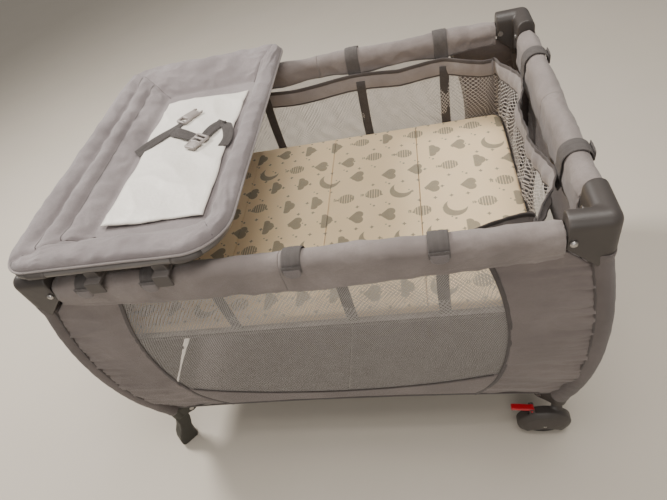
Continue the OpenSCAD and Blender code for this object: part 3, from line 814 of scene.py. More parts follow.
def make_cover(rail, far):
    """Half of a rail's cover, from the casting to the middle. rail is front, back, left or right."""
    node = f"cover_{rail}_{far}"
    low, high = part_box(node)
    long = rail in LONG_SIDES
    axis = 0 if long else 1
    reach, gap = far_side(node, axis), min(abs(low[axis]), abs(high[axis]))
    sign, far_sign = SIGN[rail], SIGN[far]
    near_end = reach - 0.046
    low_in = 0.674 if long else 0.652
    plain = np.linspace(gap, near_end, 130 if long else 76)
    along = np.concatenate([plain, np.linspace(near_end + 0.002, reach, 22)])
    section = np.array([
        cover_section(low.z + 0.09 * s ** 2, low_in + 0.004 * math.sin(s * 31 + sign)) for s in along
    ])
    across, up = (np.gradient(section[..., k], axis=1) for k in (0, 1))
    normal = unit(np.stack([-up, across], axis=-1))
    shown = np.broadcast_to(along[:, None] * far_sign, section.shape[:2])
    places = np.stack([shown, section[..., 0], section[..., 1]], axis=-1)
    puff = cover_puff(places, section, along, reach, gap, 11 * sign + 5 * far_sign + (0 if long else 40))
    outer = section + normal * puff[..., None]
    inner = section - normal * COVER_T
    loop = np.concatenate([outer, inner[:, ::-1]], axis=1)
    a = np.broadcast_to((along * far_sign)[:, None], loop.shape[:2])
    shape = Shape()
    shape.grid(by_side(rail, a, rail_off(rail) + loop[..., 0], loop[..., 1]), round_columns=True, caps=True)
    obj = shape.make(f"rail_sleeve_{rail}_{far}", RAIL_CLOTH)
    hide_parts(node)
    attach(obj, nodes[node]["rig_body"])


def make_covers():
    for rails, ends in ((LONG_SIDES, ("left", "right")), (("left", "right"), LONG_SIDES)):
        for rail in rails:
            for far in ends:
                make_cover(rail, far)


# ---------- walls ----------

WALL_BODY = {"front": "root", "left": "root", "back": "corner_back_left", "right": "corner_front_right"}
HEM_Z = 0.192            # the hem's height at the middle of a wall
WALL_OUT = 0.0125        # from a leg's centre line out to the cloth
CLOTH_T = 0.0014
END_WINDOW_TOP = 0.40    # top of the net in the end walls


def window_top(side):
    """The long walls' net reaches the rail; the end walls have plain cloth above a lower net."""
    return WALL_TOP if side in LONG_SIDES else END_WINDOW_TOP


def wall_size(side):
    """The window's half width at its widest, its sides' curve, the skirt's rise and the hem's drop."""
    return (0.377, 0.82, 0.5, 0.17) if side in LONG_SIDES else (0.212, 0.60, 0.9, 0.375)


def window_edge(side, z):
    half, curve = wall_size(side)[:2]
    return half - curve * (np.asarray(z) - 0.46) ** 2


def hem_z(side, along):
    return HEM_Z - wall_size(side)[3] * np.asarray(along) ** 2


def skirt_z(side, along):
    return 0.254 + wall_size(side)[2] * np.asarray(along) ** 2


def on_wall(side, along, z, out=0.0):
    """Points of a wall from the distance along it and the height, standing out from the cloth by out."""
    along, z = np.broadcast_arrays(np.asarray(along, float), np.asarray(z, float))
    half, base = leg_at(z) if side in LONG_SIDES else leg_at(z)[::-1]
    share = np.clip(np.abs(along) / half, 0, 1)
    hang = (1 - share ** 2) * bump_between(HEM_Z, WALL_TOP, z)
    stand = WALL_OUT * smoothstep(0.15, 0.3, z) - 0.010 * hang + out
    return by_side(side, along, base + stand, z)


def leg_along(side, z):
    """Distance along a side, from its middle to the leg's centre line at height z."""
    return leg_at(z)[0 if side in LONG_SIDES else 1]


def panel_top(side, along):
    """Top edge of the cloth: under the rail cover, then down along the casting."""
    slant = WALL_TOP - 0.9 * np.maximum(np.abs(along) - (rail_half(side) - 0.064), 0)
    return np.minimum(slant, WALL_TOP)


def wall_wrinkle(along, z, scale, seed):
    """Smooth noise over a wall, with lumps 1/scale apart along it and up it."""
    return wrinkle(np.stack([along, 0 * along, z], axis=-1), (scale[0], 1, scale[1]), seed)


def corner_panel(side, end):
    """Cloth between the window's edge and the leg, gathered a little along the leg's seam."""
    rows, columns = 110, 44
    level = np.linspace(0, 1, rows)[:, None]
    across = np.linspace(0, 1, columns)[None, :]
    z = HEM_Z + (WALL_TOP - HEM_Z) * level + np.zeros_like(across)
    for _ in range(3):
        outer = leg_along(side, z) - 0.013
        inner = window_edge(side, z)
        along = inner + (outer - inner) * across
        z = hem_z(side, along) + (panel_top(side, along) - hem_z(side, along)) * level
    seed = 13 * SIGN[side] + 5 * end + (0 if side in LONG_SIDES else 50)
    near_leg = np.exp(-(outer - along) / 0.045)
    gathers = wall_wrinkle(along, z, (12, 95), seed)
    waves = wall_wrinkle(along, z, (16, 7), seed + 8)
    sags = wall_wrinkle(along, z, (5, 30), seed + 15) * smoothstep(0.18, 0.24, z) * smoothstep(0.5, 0.34, z)
    puckers = -np.abs(wall_wrinkle(along, z, (22, 26), seed + 22)) ** 0.7
    out = 0.0075 * gathers * near_leg + 0.004 * waves * bump_between(0, 1, across) + 0.0065 * sags
    out = out + 0.0028 * puckers
    out = out + 0.006 * bump_between(-0.2, 1.2, across) * bump_between(HEM_Z, WALL_TOP, z)
    return on_wall(side, end * along, z, out)


def window_grid(side, rows, columns, past_edge, start, low, high):
    """Distances along a wall, heights and levels from 0 to 1 over its window's width.

    low and high give the heights of its ends by the distance along; start is a first guess of the height.
    """
    across = np.linspace(-1, 1, columns)[None, :]
    level = np.linspace(0, 1, rows)[:, None]
    z = start + np.zeros((rows, columns))
    for _ in range(4):
        along = across * (window_edge(side, z) + past_edge)
        z = low(along) + (high(along) - low(along)) * level
    return along, z, level


def skirt_panel(side):
    """Cloth strip under the window, with a curved top edge."""
    along, z, level = window_grid(side, 12, 120, 0.002, 0.2,
                                  lambda at: hem_z(side, at), lambda at: skirt_z(side, at))
    waves = wall_wrinkle(along, z, (11, 16), 3.0 * SIGN[side])
    return on_wall(side, along, z, 0.0012 * waves * bump_between(-0.1, 1.1, level))


def net_panel(side):
    """The window's net, from just behind its binding up to under the rail cover."""
    along, z, level = window_grid(side, 56, 110, 0.004, 0.45,
                                  lambda at: skirt_z(side, at) - 0.004, lambda at: window_top(side))
    slack = wall_wrinkle(along, z, (5, 7), 21.0 * SIGN[side]) * bump_between(0, 1, level)
    return on_wall(side, along, z, 0.003 * slack - 0.0012)


def header_panel(side):
    """Plain cloth above an end wall's net."""
    along, z, level = window_grid(side, 34, 70, 0.002, 0.5,
                                  lambda at: END_WINDOW_TOP + 0 * at, lambda at: WALL_TOP)
    waves = wall_wrinkle(along, z, (12, 8), 4.0 * SIGN[side])
    return on_wall(side, along, z, 0.004 * waves * bump_between(-0.1, 1.1, level))


def edge_strip(shape, side, along, z, width, kind=0, out=0.0012, closed=False):
    """A flat tape on the wall that follows a line given by distances along it and heights."""
    path = on_wall(side, along, z, out)
    away = on_wall(side, along, z, out + 0.01) - path
    shape.strip(path, away, width, 0.0022, kind=kind, closed=closed)


def make_wall(side):
    long = side in LONG_SIDES
    shape = Shape()
    for end in (-1, 1):
        shape.grid(corner_panel(side, end))
    shape.grid(skirt_panel(side))
    if not long:
        shape.grid(header_panel(side))
    cloth = thicken(shape.make(f"wall_{side}_cloth", WALL_CLOTH), CLOTH_T)

    shape = Shape()
    shape.grid(net_panel(side))
    net = shape.make(f"wall_{side}_net", FINE_NET)

    shape = Shape()
    heights = np.linspace(hem_z(side, 0.37 if long else 0.21), WALL_TOP, 70)
    for end in (-1, 1):
        edge_strip(shape, side, end * window_edge(side, heights), heights, 0.009)
    reach = window_edge(side, 0.27)
    line = np.linspace(-reach, reach, 90)
    edge_strip(shape, side, line, skirt_z(side, line), 0.005, out=0.0008)
    if not long:
        edge_strip(shape, side, line, END_WINDOW_TOP + 0 * line, 0.006, out=0.0008)
    corner = float(leg_along(side, HEM_Z)) - 0.004
    line = np.linspace(-corner, corner, 110)
    edge_strip(shape, side, line, hem_z(side, line) + 0.002, 0.008)
    heights = np.linspace(0.165, 0.655, 80)
    seam = leg_along(side, heights) - 0.0135
    for end in (-1, 1):
        edge_strip(shape, side, end * seam, heights, 0.005, out=0.003)
    binding = shape.make(f"wall_{side}_binding", BINDING)

    for obj in (cloth, net, binding):
        finish_piece(obj, WALL_BODY[side])
        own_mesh(obj)
    return cloth


def make_walls():
    walls = [make_wall(side) for side in SIDES]
    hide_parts("cot_walls")


# ---------- floor of the cot ----------


def make_floor_quarters():
    """The cloth floor in four quarters, each lying over one base tube and lifting with it."""
    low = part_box("cot_floor")[0]
    reach_x, reach_y = (float(reach) - 0.004 for reach in leg_at(0.17))
    first = None
    for sy, sx in CORNERS:
        u, v = np.meshgrid(np.linspace(0, 1, 60), np.linspace(0, 1, 44), indexing="ij")
        corner = 1 - 0.055 * (u * v) ** 6
        x = 0.0005 + (reach_x - 0.0005) * u * corner
        y = 0.0005 + (reach_y - 0.0005) * v * corner
        dents = flat_wrinkle(x * SIGN[sx], y * SIGN[sy], (7, 7), 4.0)
        to_wall = np.maximum(u, v)
        z = low.z + 0.0025 + 0.011 * smoothstep(0.9, 1.0, to_wall) + 0.0015 * dents * (1 - to_wall ** 4)
        shape = Shape()
        shape.grid(np.stack([x * SIGN[sx], y * SIGN[sy], z], axis=-1))
        obj = thicken(shape.make(f"floor_cloth_{sy}_{sx}", FLOOR_CLOTH), 0.002)
        tube = f"base_tube_{sy}_{sx}"
        finish_piece(obj, tube)
        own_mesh(obj)
        first = first or obj
    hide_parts("cot_floor")


# ---------- feet, wheels and brakes ----------


def make_feet():
    for sy in LONG_SIDES:
        foot = f"foot_{sy}_left"
        softened(foot, f"moulded_{foot}", FOOT_PLASTIC, voxel=0.0017, rounds=6)


HOOD_IN = 0.333          # where a hood begins, from the middle plane out
HOOD_R = 0.062
WHEEL_NARROWER = 0.8
WHEEL_OUT = 0.008


def hood_shape(sy):
    """Domes a wheel hood's outer face, and makes the hood a little flatter and narrower towards the frame."""
    centre = middle(f"wheel_{sy}")
    inside, face = HOOD_IN, far_side(f"wheel_bracket_{sy}", 1) - 0.002

    def shape(co):
        y = co[:, 1] * SIGN[sy]
        x, z = co[:, 0] - centre.x, co[:, 2] - centre.z
        r = np.hypot(x, z)
        on_hood = smoothstep(HOOD_R + 0.004, HOOD_R, r)
        z = z * np.where(z > 0, 1 - 0.15 * on_hood, 1)
        shift = on_hood * 0.012 * np.clip(1 - (y - inside) / (face - inside), 0, 1)
        y = np.where(y > inside, y + shift, y)
        outside = smoothstep(face - 0.010, face, y)
        domed = 0.007 * np.clip(1 - (r / HOOD_R) ** 2, 0, 1) - 0.005 * smoothstep(0.046, HOOD_R, r)
        y = y + outside * domed
        return np.stack([co[:, 0], SIGN[sy] * y, centre.z + z], axis=1)

    return shape


def make_wheels():
    for sy in LONG_SIDES:
        bracket, lever, node = f"wheel_bracket_{sy}", f"brake_lever_{sy}", f"wheel_{sy}"
        softened(bracket, f"moulded_hood_{sy}", DARK_PLASTIC, voxel=0.0017, rounds=9,
                 shape=hood_shape(sy))
        softened(lever, f"brake_pedal_{sy}", RED_PLASTIC, voxel=0.0009, rounds=5)
        low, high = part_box(node)
        centre = (low + high) / 2
        radius, half = (high.z - low.z) / 2, (high.y - low.y) / 2 * WHEEL_NARROWER
        centre.y += SIGN[sy] * WHEEL_OUT
        tread = half * 0.78
        # From the axle out to the middle of the tread, on one face.
        face = [
            (half, 0.0045), (half, 0.011), (half * 0.55, 0.0125), (half * 0.42, 0.030), (tread * 0.8, 0.036),
            (tread * 0.98, radius - 0.006), (tread * 0.85, radius - 0.002), (tread * 0.5, radius),
        ]
        shape = Shape()
        shape.turned([(-out, r) for out, r in face] + face[::-1], centre, (0, 1, 0), sides=72)
        for i in range(6):
            turn = i * math.pi / 3
            way = Vector((math.cos(turn), 0, math.sin(turn)))
            shape.tube([centre + way * r for r in (0.011, 0.024, 0.037)], [0.0075, 0.0068, 0.0072], sides=10)
        wheel = shape.make(f"spoked_wheel_{sy}", TYRE)
        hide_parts(node)
        finish_piece(wheel, node)
        shape = Shape()
        head_y = SIGN[sy] * (far_side(bracket, 1) + 0.0035)
        dome(shape, (centre.x, head_y, centre.z), (0, SIGN[sy], 0), r=0.0045)
        finish_piece(shape.make(f"axle_head_{sy}", ZINC), nodes[bracket]["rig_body"])


# ---------- bassinet ----------

SHELL_R = 0.030
BAND_Z = 0.632           # lower edge of the bassinet's cloth band
MATTRESS_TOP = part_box("mattress_panel_2")[1].z
FRONT_STRAPS = (-0.18, 0.08, 0.27)
BACK_STRAPS = (-0.16, 0.106, 0.323)


def loop_plan(half_x, half_y, radius, count):
    """Evenly spaced points round a rounded rectangle, anticlockwise from the middle of the right side."""
    corners = [(half_x, 0.0)]
    for qx, qy, start in ((1, 1, 0), (-1, 1, 90), (-1, -1, 180), (1, -1, 270)):
        centre_x, centre_y = qx * (half_x - radius), qy * (half_y - radius)
        for a in np.radians(np.linspace(start, start + 90, 12)):
            corners.append((centre_x + radius * math.cos(a), centre_y + radius * math.sin(a)))
    corners = np.array([*corners, corners[0]])
    along = np.concatenate([[0], np.cumsum(np.linalg.norm(np.diff(corners, axis=0), axis=1))])
    at = np.linspace(0, along[-1], count, endpoint=False)
    return np.stack([np.interp(at, along, corners[:, k]) for k in range(2)], axis=1)


def clip_places():
    """Where the bassinet's clips hang: (rail, distance along it), read from the CAD clips."""
    co = np.array([v.co for v in nodes["bassinet_clips"].data.vertices])
    found = []
    for rail in SIDES:
        axis = 0 if rail in LONG_SIDES else 1
        to_rail = np.abs(co[:, 1 - axis] - SIGN[rail] * rail_off(rail))
        spots = np.unique(np.round(co[(to_rail < 0.03) & (co[:, 2] > 0.729), axis], 4))
        groups = np.split(spots, np.nonzero(np.diff(spots) > 0.06)[0] + 1)
        found += [(rail, float((g.min() + g.max()) / 2)) for g in groups]
    return found


CLIPS = clip_places()
# Where the bassinet's top edge hangs slack: (from, to, depth, pull inwards), from clip to clip.
SLACK = [
    ((0.266, "front"), (-0.173, "right"), 0.014, 0.062),
    ((-0.173, "right"), (0.173, "right"), 0.014, 0.025),
    ((0.173, "right"), (0.318, "back"), 0.012, 0.038),
]
RIGHT_REACH = 0.018      # how far the bassinet's right end is drawn out towards its rail


def outline_share(plan, place):
    """Index of the outline's point next to a clip, given as (distance along its rail, rail)."""
    at, rail = place
    spot = by_side(rail, at, SHELL_HIGH.y if rail in LONG_SIDES else SHELL_HIGH.x, 0)[:2]
    return int(np.argmin(np.hypot(*(plan - spot).T)))


def top_edge(plan):
    """How far the bassinet's top edge hangs down and leans inwards at each point of its outline."""
    count = len(plan)
    nearest = np.full(count, 9.0)
    for rail, at in CLIPS:
        spot = plan[outline_share(plan, (at, rail))]
        nearest = np.minimum(nearest, np.hypot(*(plan - spot).T))
    drop = 0.014 * (1 - np.exp(-((nearest / 0.11) ** 2)))
    lean = -RIGHT_REACH * smoothstep(SHELL_HIGH.x - 0.05, SHELL_HIGH.x, plan[:, 0])
    for start, end, depth, pull in SLACK:
        a, b = outline_share(plan, start), outline_share(plan, end)
        steps = (b - a) % count
        where = (a + np.arange(steps + 1)) % count
        swell = np.sin(math.pi * np.arange(steps + 1) / steps) ** 1.3
        drop[where] = np.maximum(drop[where], depth * swell)
        lean[where] += pull * swell
    return drop, lean


def plan_normals(plan):
    """Direction straight outwards at each point of an outline."""
    ahead = np.roll(plan, -1, 0) - np.roll(plan, 1, 0)
    return unit(np.stack([ahead[:, 1], -ahead[:, 0], np.zeros(len(plan))], axis=1))


def bassinet_rings(low, high, rows, lean_low, lean_high, slack):
    """Points of the bassinet's side from height low to high (arrays round the outline), leaning inwards."""
    plan = loop_plan(SHELL_HIGH.x, SHELL_HIGH.y, SHELL_R, len(low))
    inward = -plan_normals(plan)[:, :2]
    out = []
    for t in np.linspace(0, 1, rows):
        z = low + (high - low) * t
        place = np.stack([plan[:, 0], plan[:, 1], z], axis=1)
        folds = wrinkle(place, (24, 24, 7), 5.0) + 0.5 * wrinkle(place, (60, 60, 9), 8.0)
        right_end = smoothstep(0.34, 0.45, plan[:, 0])
        free = smoothstep(MATTRESS_TOP, MATTRESS_TOP + 0.03, z)
        depth = slack * math.sin(math.pi * t) ** 0.8 * free * (0.003 + 0.005 * right_end) * (1 + 0.9 * folds)
        depth = depth + lean_low + (lean_high - lean_low) * t ** 1.5
        depth = depth + 0.0036 * free * folds * (0.4 + 1.6 * right_end)
        keep = -RIGHT_REACH * right_end * free
        place[:, :2] += inward * np.maximum(depth, keep)[:, None]
        out.append(place)
    return np.array(out)


def make_bassinet():
    plan = loop_plan(SHELL_HIGH.x, SHELL_HIGH.y, SHELL_R, 560)
    drop, lean = top_edge(plan)
    top = SHELL_HIGH.z + 0.004 - drop
    seam = top - (SHELL_HIGH.z + 0.004 - BAND_Z)
    bottom = np.full(len(plan), SHELL_LOW.z + 0.004)
    flat = np.zeros(len(plan))

    shape = Shape()
    shape.grid(bassinet_rings(seam, top, 12, 0.8 * lean, lean, 0.5), round_columns=True)
    band = thicken(shape.make("bassinet_band", BAND_CLOTH), 0.0024)
    shape = Shape()
    shape.grid(bassinet_rings(bottom, seam, 34, flat, 0.8 * lean, 1.0), round_columns=True)
    net = shape.make("bassinet_net", WIDE_NET)

    shape = Shape()
    edges = (
        (bassinet_rings(top - 0.001, top, 2, lean, lean, 0.0)[1], 0.011),
        (bassinet_rings(seam - 0.001, seam, 2, 0.8 * lean, 0.8 * lean, 0.0)[1], 0.006),
        (bassinet_rings(bottom, bottom + 0.003, 2, flat, flat, 0.0)[1], 0.010),
    )
    for path, width in edges:
        shape.strip(path, plan_normals(plan), width, 0.004, closed=True)
    piping = shape.make("bassinet_piping", BINDING)

    shape = Shape()
    for side, places in (("front", FRONT_STRAPS), ("back", BACK_STRAPS)):
        y = SIGN[side] * (SHELL_HIGH.y - 0.0035)
        for x in places:
            heights = np.linspace(SHELL_LOW.z + 0.005, SHELL_HIGH.z - 0.012, 14)
            path = [(x + 0.006 * math.sin(9 * z + x), y, z) for z in heights]
            shape.strip(path, [(0, -SIGN[side], 0)] * len(path), 0.024, 0.002)
    straps = shape.make("bassinet_webbing", WEBBING)

    board = loop_plan(SHELL_HIGH.x - 0.0015, SHELL_HIGH.y - 0.0015, SHELL_R, 160)
    low, high = SHELL_LOW.z, SHELL_LOW.z + 0.0185
    levels = [(0.02, low), (0.5, low), (0.985, low), (1, low + 0.002), (1, high - 0.002), (0.985, high),
              (0.5, high), (0.02, high)]
    shape = Shape()
    shape.grid(np.array([np.column_stack([board * s, np.full(160, z)]) for s, z in levels]),
               round_columns=True, caps=True)
    base = shape.make("bassinet_base", BAND_CLOTH)

    for obj in (band, net, piping, straps, base):
        finish_piece(obj, "bassinet")
    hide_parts("bassinet_shell")


def make_clips():
    """Padded loops that hook the bassinet over the rail covers, each with a tab under its outer end."""
    shape = Shape()
    r = COVER_TOP_R + 0.0035
    for rail, at in CLIPS:
        reach = rail_off(rail) - (SHELL_HIGH.y if rail in LONG_SIDES else SHELL_HIGH.x)
        reach -= RIGHT_REACH if rail == "right" else 0
        arc = np.linspace(math.pi, 0, 14)
        section = [(-reach + 0.001, 0.644), (-reach + 0.006, 0.655), (-r - 0.001, 0.672), (-r, 0.688)]
        section += [(r * math.cos(a), COVER_MIDDLE_Z + r * math.sin(a)) for a in arc]
        section += [(r + 0.0005, 0.722), (r + 0.001, 0.716), (r + 0.001, 0.7105)]
        section = curve_through(section, 46)
        ahead = tangents(section)
        tab = np.array([(r + 0.0016, z) for z in np.linspace(0.716, 0.696, 12)])
        width = 0.030 * np.sqrt(1 - np.linspace(0, 0.96, len(tab)) ** 5)
        off = rail_off(rail)
        shape.strip(by_side(rail, np.full(len(section), at), off + section[:, 0], section[:, 1]),
                    by_side(rail, 0 * ahead[:, 0], -ahead[:, 1], ahead[:, 0]), 0.034, 0.0034, ribs=3)
        shape.strip(by_side(rail, np.full(len(tab), at), off + tab[:, 0], tab[:, 1]),
                    by_side(rail, 0 * width, 0 * width + 1, 0 * width), width, 0.0036, kind=1)
    clips = shape.make("rail_clips", CLIP_WEBBING, TAB_CLOTH)
    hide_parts("bassinet_clips")
    finish_piece(clips, "bassinet")


# ---------- mattress ----------

MATTRESS_EDGE = 0.008    # radius of a panel's outer edges
JOINT_EDGE = 0.0035      # radius of its edges along a fold
MATTRESS_CORNER = 0.030


def mattress_top(x, y, low, high, seed):
    """Crown, soft dents and a dip at the sewn edges, added to a panel's top."""
    u = (x - low.x) / (high.x - low.x)
    v = (y - low.y) / (high.y - low.y)
    crown = 0.0016 * np.sin(math.pi * np.clip(u, 0, 1)) ** 0.5 * np.sin(math.pi * np.clip(v, 0, 1)) ** 0.4
    dents = flat_wrinkle(x, y, (8, 8), seed)
    fine = flat_wrinkle(x, y, (26, 34), seed + 4)
    near_seam = np.exp(-np.minimum(u, 1 - u) * (high.x - low.x) / 0.012)
    ripples = flat_wrinkle(x, y, (75, 9), seed + 7)
    by_fold = np.exp(-(((x + 0.19) / 0.045) ** 2))
    return crown + 0.0011 * dents + 0.0006 * fine * (1 + 2 * near_seam) + 0.0016 * ripples * by_fold


def rounding(radius, inset):
    """How far a round edge has fallen away at a distance inset past where it begins."""
    return radius - np.sqrt(np.maximum(radius ** 2 - inset ** 2, 0))


def panel_grid(low, high, rounded):
    """Top and bottom of a mattress panel; rounded is the end in X that has round corners, or 0."""
    u, v = np.meshgrid(crowded(46), crowded(112), indexing="ij")
    half, mid = (high - low) / 2, (high + low) / 2
    inset = np.maximum(0, MATTRESS_CORNER - half.y * (1 - np.abs(v)))
    cut = rounding(MATTRESS_CORNER, inset)
    x = u * half.x - np.where(rounded * u > 0, rounded * cut * u * u, 0)
    y = v * half.y
    to_joint = (1 - np.abs(u)) * half.x + np.where(rounded * u > 0, 0, MATTRESS_EDGE - JOINT_EDGE)
    d = np.minimum(to_joint, (1 - np.abs(v)) * half.y)
    fall = rounding(MATTRESS_EDGE, np.maximum(MATTRESS_EDGE - d, 0))
    x, y = mid.x + x, mid.y + y
    return np.stack([x, y, high.z - fall], axis=-1), np.stack([x, y, low.z + fall], axis=-1)


def make_mattress():
    for i in range(1, 5):
        node = f"mattress_panel_{i}"
        low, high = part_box(node)
        high = high - Vector((0, 0, 0.0012))
        top, bottom = panel_grid(low, high, {1: -1, 4: 1}.get(i, 0))
        top[..., 2] += mattress_top(top[..., 0], top[..., 1], low, high, 2.0 * i)
        shape = Shape()
        shape.grid(top)
        shape.grid(bottom)
        rim = rim_indices(*top.shape[:2])
        edge_top, edge_bottom = top.reshape(-1, 3)[rim], bottom.reshape(-1, 3)[rim]
        rows = np.array([edge_top * (1 - t) + edge_bottom * t for t in np.linspace(0, 1, 5)])
        shape.grid(rows, round_columns=True)
        obj = shape.make(f"mattress_pad_{i}", PRINT, weld=1e-6)
        co = positions(obj)
        to_edge = np.min([co[:, 0] - low.x, high.x - co[:, 0], co[:, 1] - low.y, high.y - co[:, 1]], axis=0)
        held = np.maximum(smoothstep(0.02, 0.0, to_edge), co[:, 2] < low.z + 0.004)
        inflate(obj, held, pressure=1.2, cap=0.003, frames=12)
        subdivide(obj)
        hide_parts(node)
        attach(obj, nodes[node]["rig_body"])


def crowded(count):
    """Numbers from -1 to 1 that crowd towards both ends."""
    bend = 0.9 * math.pi / 2
    return np.sin(np.linspace(-1, 1, count) * bend) / math.sin(bend)


def rim_indices(rows, columns):
    """Indices of a grid's edge points, in order round it."""
    index = np.arange(rows * columns).reshape(rows, columns)
    return np.concatenate([index[0], index[1:, -1], index[-1, -2::-1], index[-2:0:-1, 0]])


# ---------- changing table ----------

# Radii of the pad's and its tube's corners, anticlockwise from the far right one; the near right one is slack.
PAD_CORNERS = (0.050, 0.055, 0.055, 0.085)
TUBE_CORNERS = (0.045, 0.045, 0.045, 0.078)
PANEL_LOW, PANEL_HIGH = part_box("changer_panel")
PANEL_MIDDLE = (PANEL_LOW + PANEL_HIGH) / 2
FLOOR_Z = PANEL_LOW.z + 0.0015
BASIN_HALF = (0.122, 0.258)
# Height of the pad's cloth under its crest, by the share of the way from its edge to the sunken floor.
ROLL = [
    (0, -0.017), (0.03, -0.008), (0.12, -0.001), (0.30, 0), (0.52, -0.005), (0.74, -0.017), (0.80, -0.024),
    (0.86, -0.027), (1, -0.0365),
]
TWO_ROLLS = [
    (0, -0.017), (0.02, -0.008), (0.09, -0.001), (0.18, 0), (0.28, -0.004), (0.34, -0.013), (0.36, -0.015),
    (0.39, -0.011), (0.48, -0.003), (0.58, -0.007), (0.64, -0.017), (0.66, -0.019), (0.69, -0.018),
    (0.84, -0.027), (1, -0.0365),
]
GROOVES = (0.36, 0.66)   # the two seams along the wide roll, by the same share
# Points of a plan outline on each corner, on its long sides and on its short sides.
CORNER_POINTS = 14
SIDE_POINTS = (66, 40)


def corner_starts():
    """Index of each corner's first point, anticlockwise from the far right corner."""
    steps = np.array([SIDE_POINTS[1], SIDE_POINTS[0], SIDE_POINTS[1]]) + CORNER_POINTS - 1
    return np.concatenate([[0], np.cumsum(steps)])


def mitres():
    """Index of the middle point of each corner, where a seam runs in."""
    return corner_starts() + CORNER_POINTS // 2


def matched_plan(half_x, half_y, radii, middle_at):
    """Points round a rounded rectangle, with a fixed number on each side and corner.

    radii are those of the corners, anticlockwise from the far right one.
    """
    points = []
    for k, (qx, qy) in enumerate(((1, 1), (-1, 1), (-1, -1), (1, -1))):
        turn = np.radians(np.linspace(90 * k, 90 * k + 90, CORNER_POINTS))
        round_one, round_two = radii[k], radii[(k + 1) % 4]
        centre = np.array([qx * (half_x - round_one), qy * (half_y - round_one)])
        points += [centre + round_one * np.array([math.cos(a), math.sin(a)]) for a in turn]
        end, steps = np.array([qx * half_x, -qy * (half_y - round_two)]), SIDE_POINTS[0]
        if qx == qy:
            end, steps = np.array([-qx * (half_x - round_two), qy * half_y]), SIDE_POINTS[1]
        points += [points[-1] + (end - points[-1]) * t for t in np.linspace(0, 1, steps + 1)[1:-1]]
    return np.array(points) + np.asarray(middle_at)


def pad_rings():
    """The pad's surface from under its middle, out round its edge and in to its sunken floor."""
    half_x, half_y = PAD_HALF
    outer = matched_plan(half_x, half_y, PAD_CORNERS, (PAD_MIDDLE.x, PAD_MIDDLE.y))
    inner = matched_plan(*BASIN_HALF, (0.02,) * 4, (PANEL_MIDDLE.x, -0.022))
    tray = matched_plan(0.150, 0.321, (0.03,) * 4, (PANEL_MIDDLE.x - 0.003, 0))
    on_left = smoothstep(-0.08, -0.13, outer[:, 0] - PAD_MIDDLE.x)
    left = on_left * smoothstep(half_y - 0.02, half_y - 0.09, np.abs(outer[:, 1]))
    crest = PAD_HIGH.z - 0.002
    one, two = (curve_through(points, 240) for points in (ROLL, TWO_ROLLS))
    rings, shares = [], []
    under = [
        (tray, PAD_LOW.z), (tray, PAD_LOW.z + 0.006), (tray, PAD_HIGH.z - 0.022),
        (outer * 0.5 + tray * 0.5, PAD_HIGH.z - 0.0205), (outer * 0.93 + tray * 0.07, PAD_HIGH.z - 0.0205),
    ]
    for plan, z in under:
        rings.append(np.column_stack([plan, np.full(len(plan), z)]))
        shares.append(-1.0)
    for share in np.concatenate([np.linspace(0, 0.1, 7), np.linspace(0.13, 1, 34)]):
        height = np.interp(share, *one.T) * (1 - left) + np.interp(share, *two.T) * left
        rings.append(np.column_stack([outer * (1 - share) + inner * share, crest + height]))
        shares.append(share)
    return np.array(rings), np.array(shares), outer, inner, left


def to_mitre(points, outer, inner):
    """Distance from each point, in plan, to the nearest of the seams that run in from the pad's corners."""
    nearest = np.full(len(points), 9.0)
    for column in mitres():
        a, b = outer[column], inner[column]
        along = np.clip(((points - a) @ (b - a)) / ((b - a) @ (b - a)), 0, 1)
        nearest = np.minimum(nearest, np.linalg.norm(points - a - along[:, None] * (b - a), axis=1))
    return nearest


def make_pad_seams(grid, shares):
    """Stitched seams: one in from each corner, and two along the wide roll."""
    shape = Shape()
    on_pad = np.nonzero((shares >= 0.02) & (shares <= 1))[0]
    corners = mitres()
    lines = [grid[on_pad, column] for column in corners]
    for at in GROOVES:
        ring = int(np.argmin(np.abs(shares - at)))
        lines.append(grid[ring, corners[1] + 1:corners[2]])
    for line in lines:
        shape.tube(line + [0, 0, 0.0003], 0.0011, sides=6)
    finish_piece(shape.make("changer_seams", SEAM_TAPE), "changer")


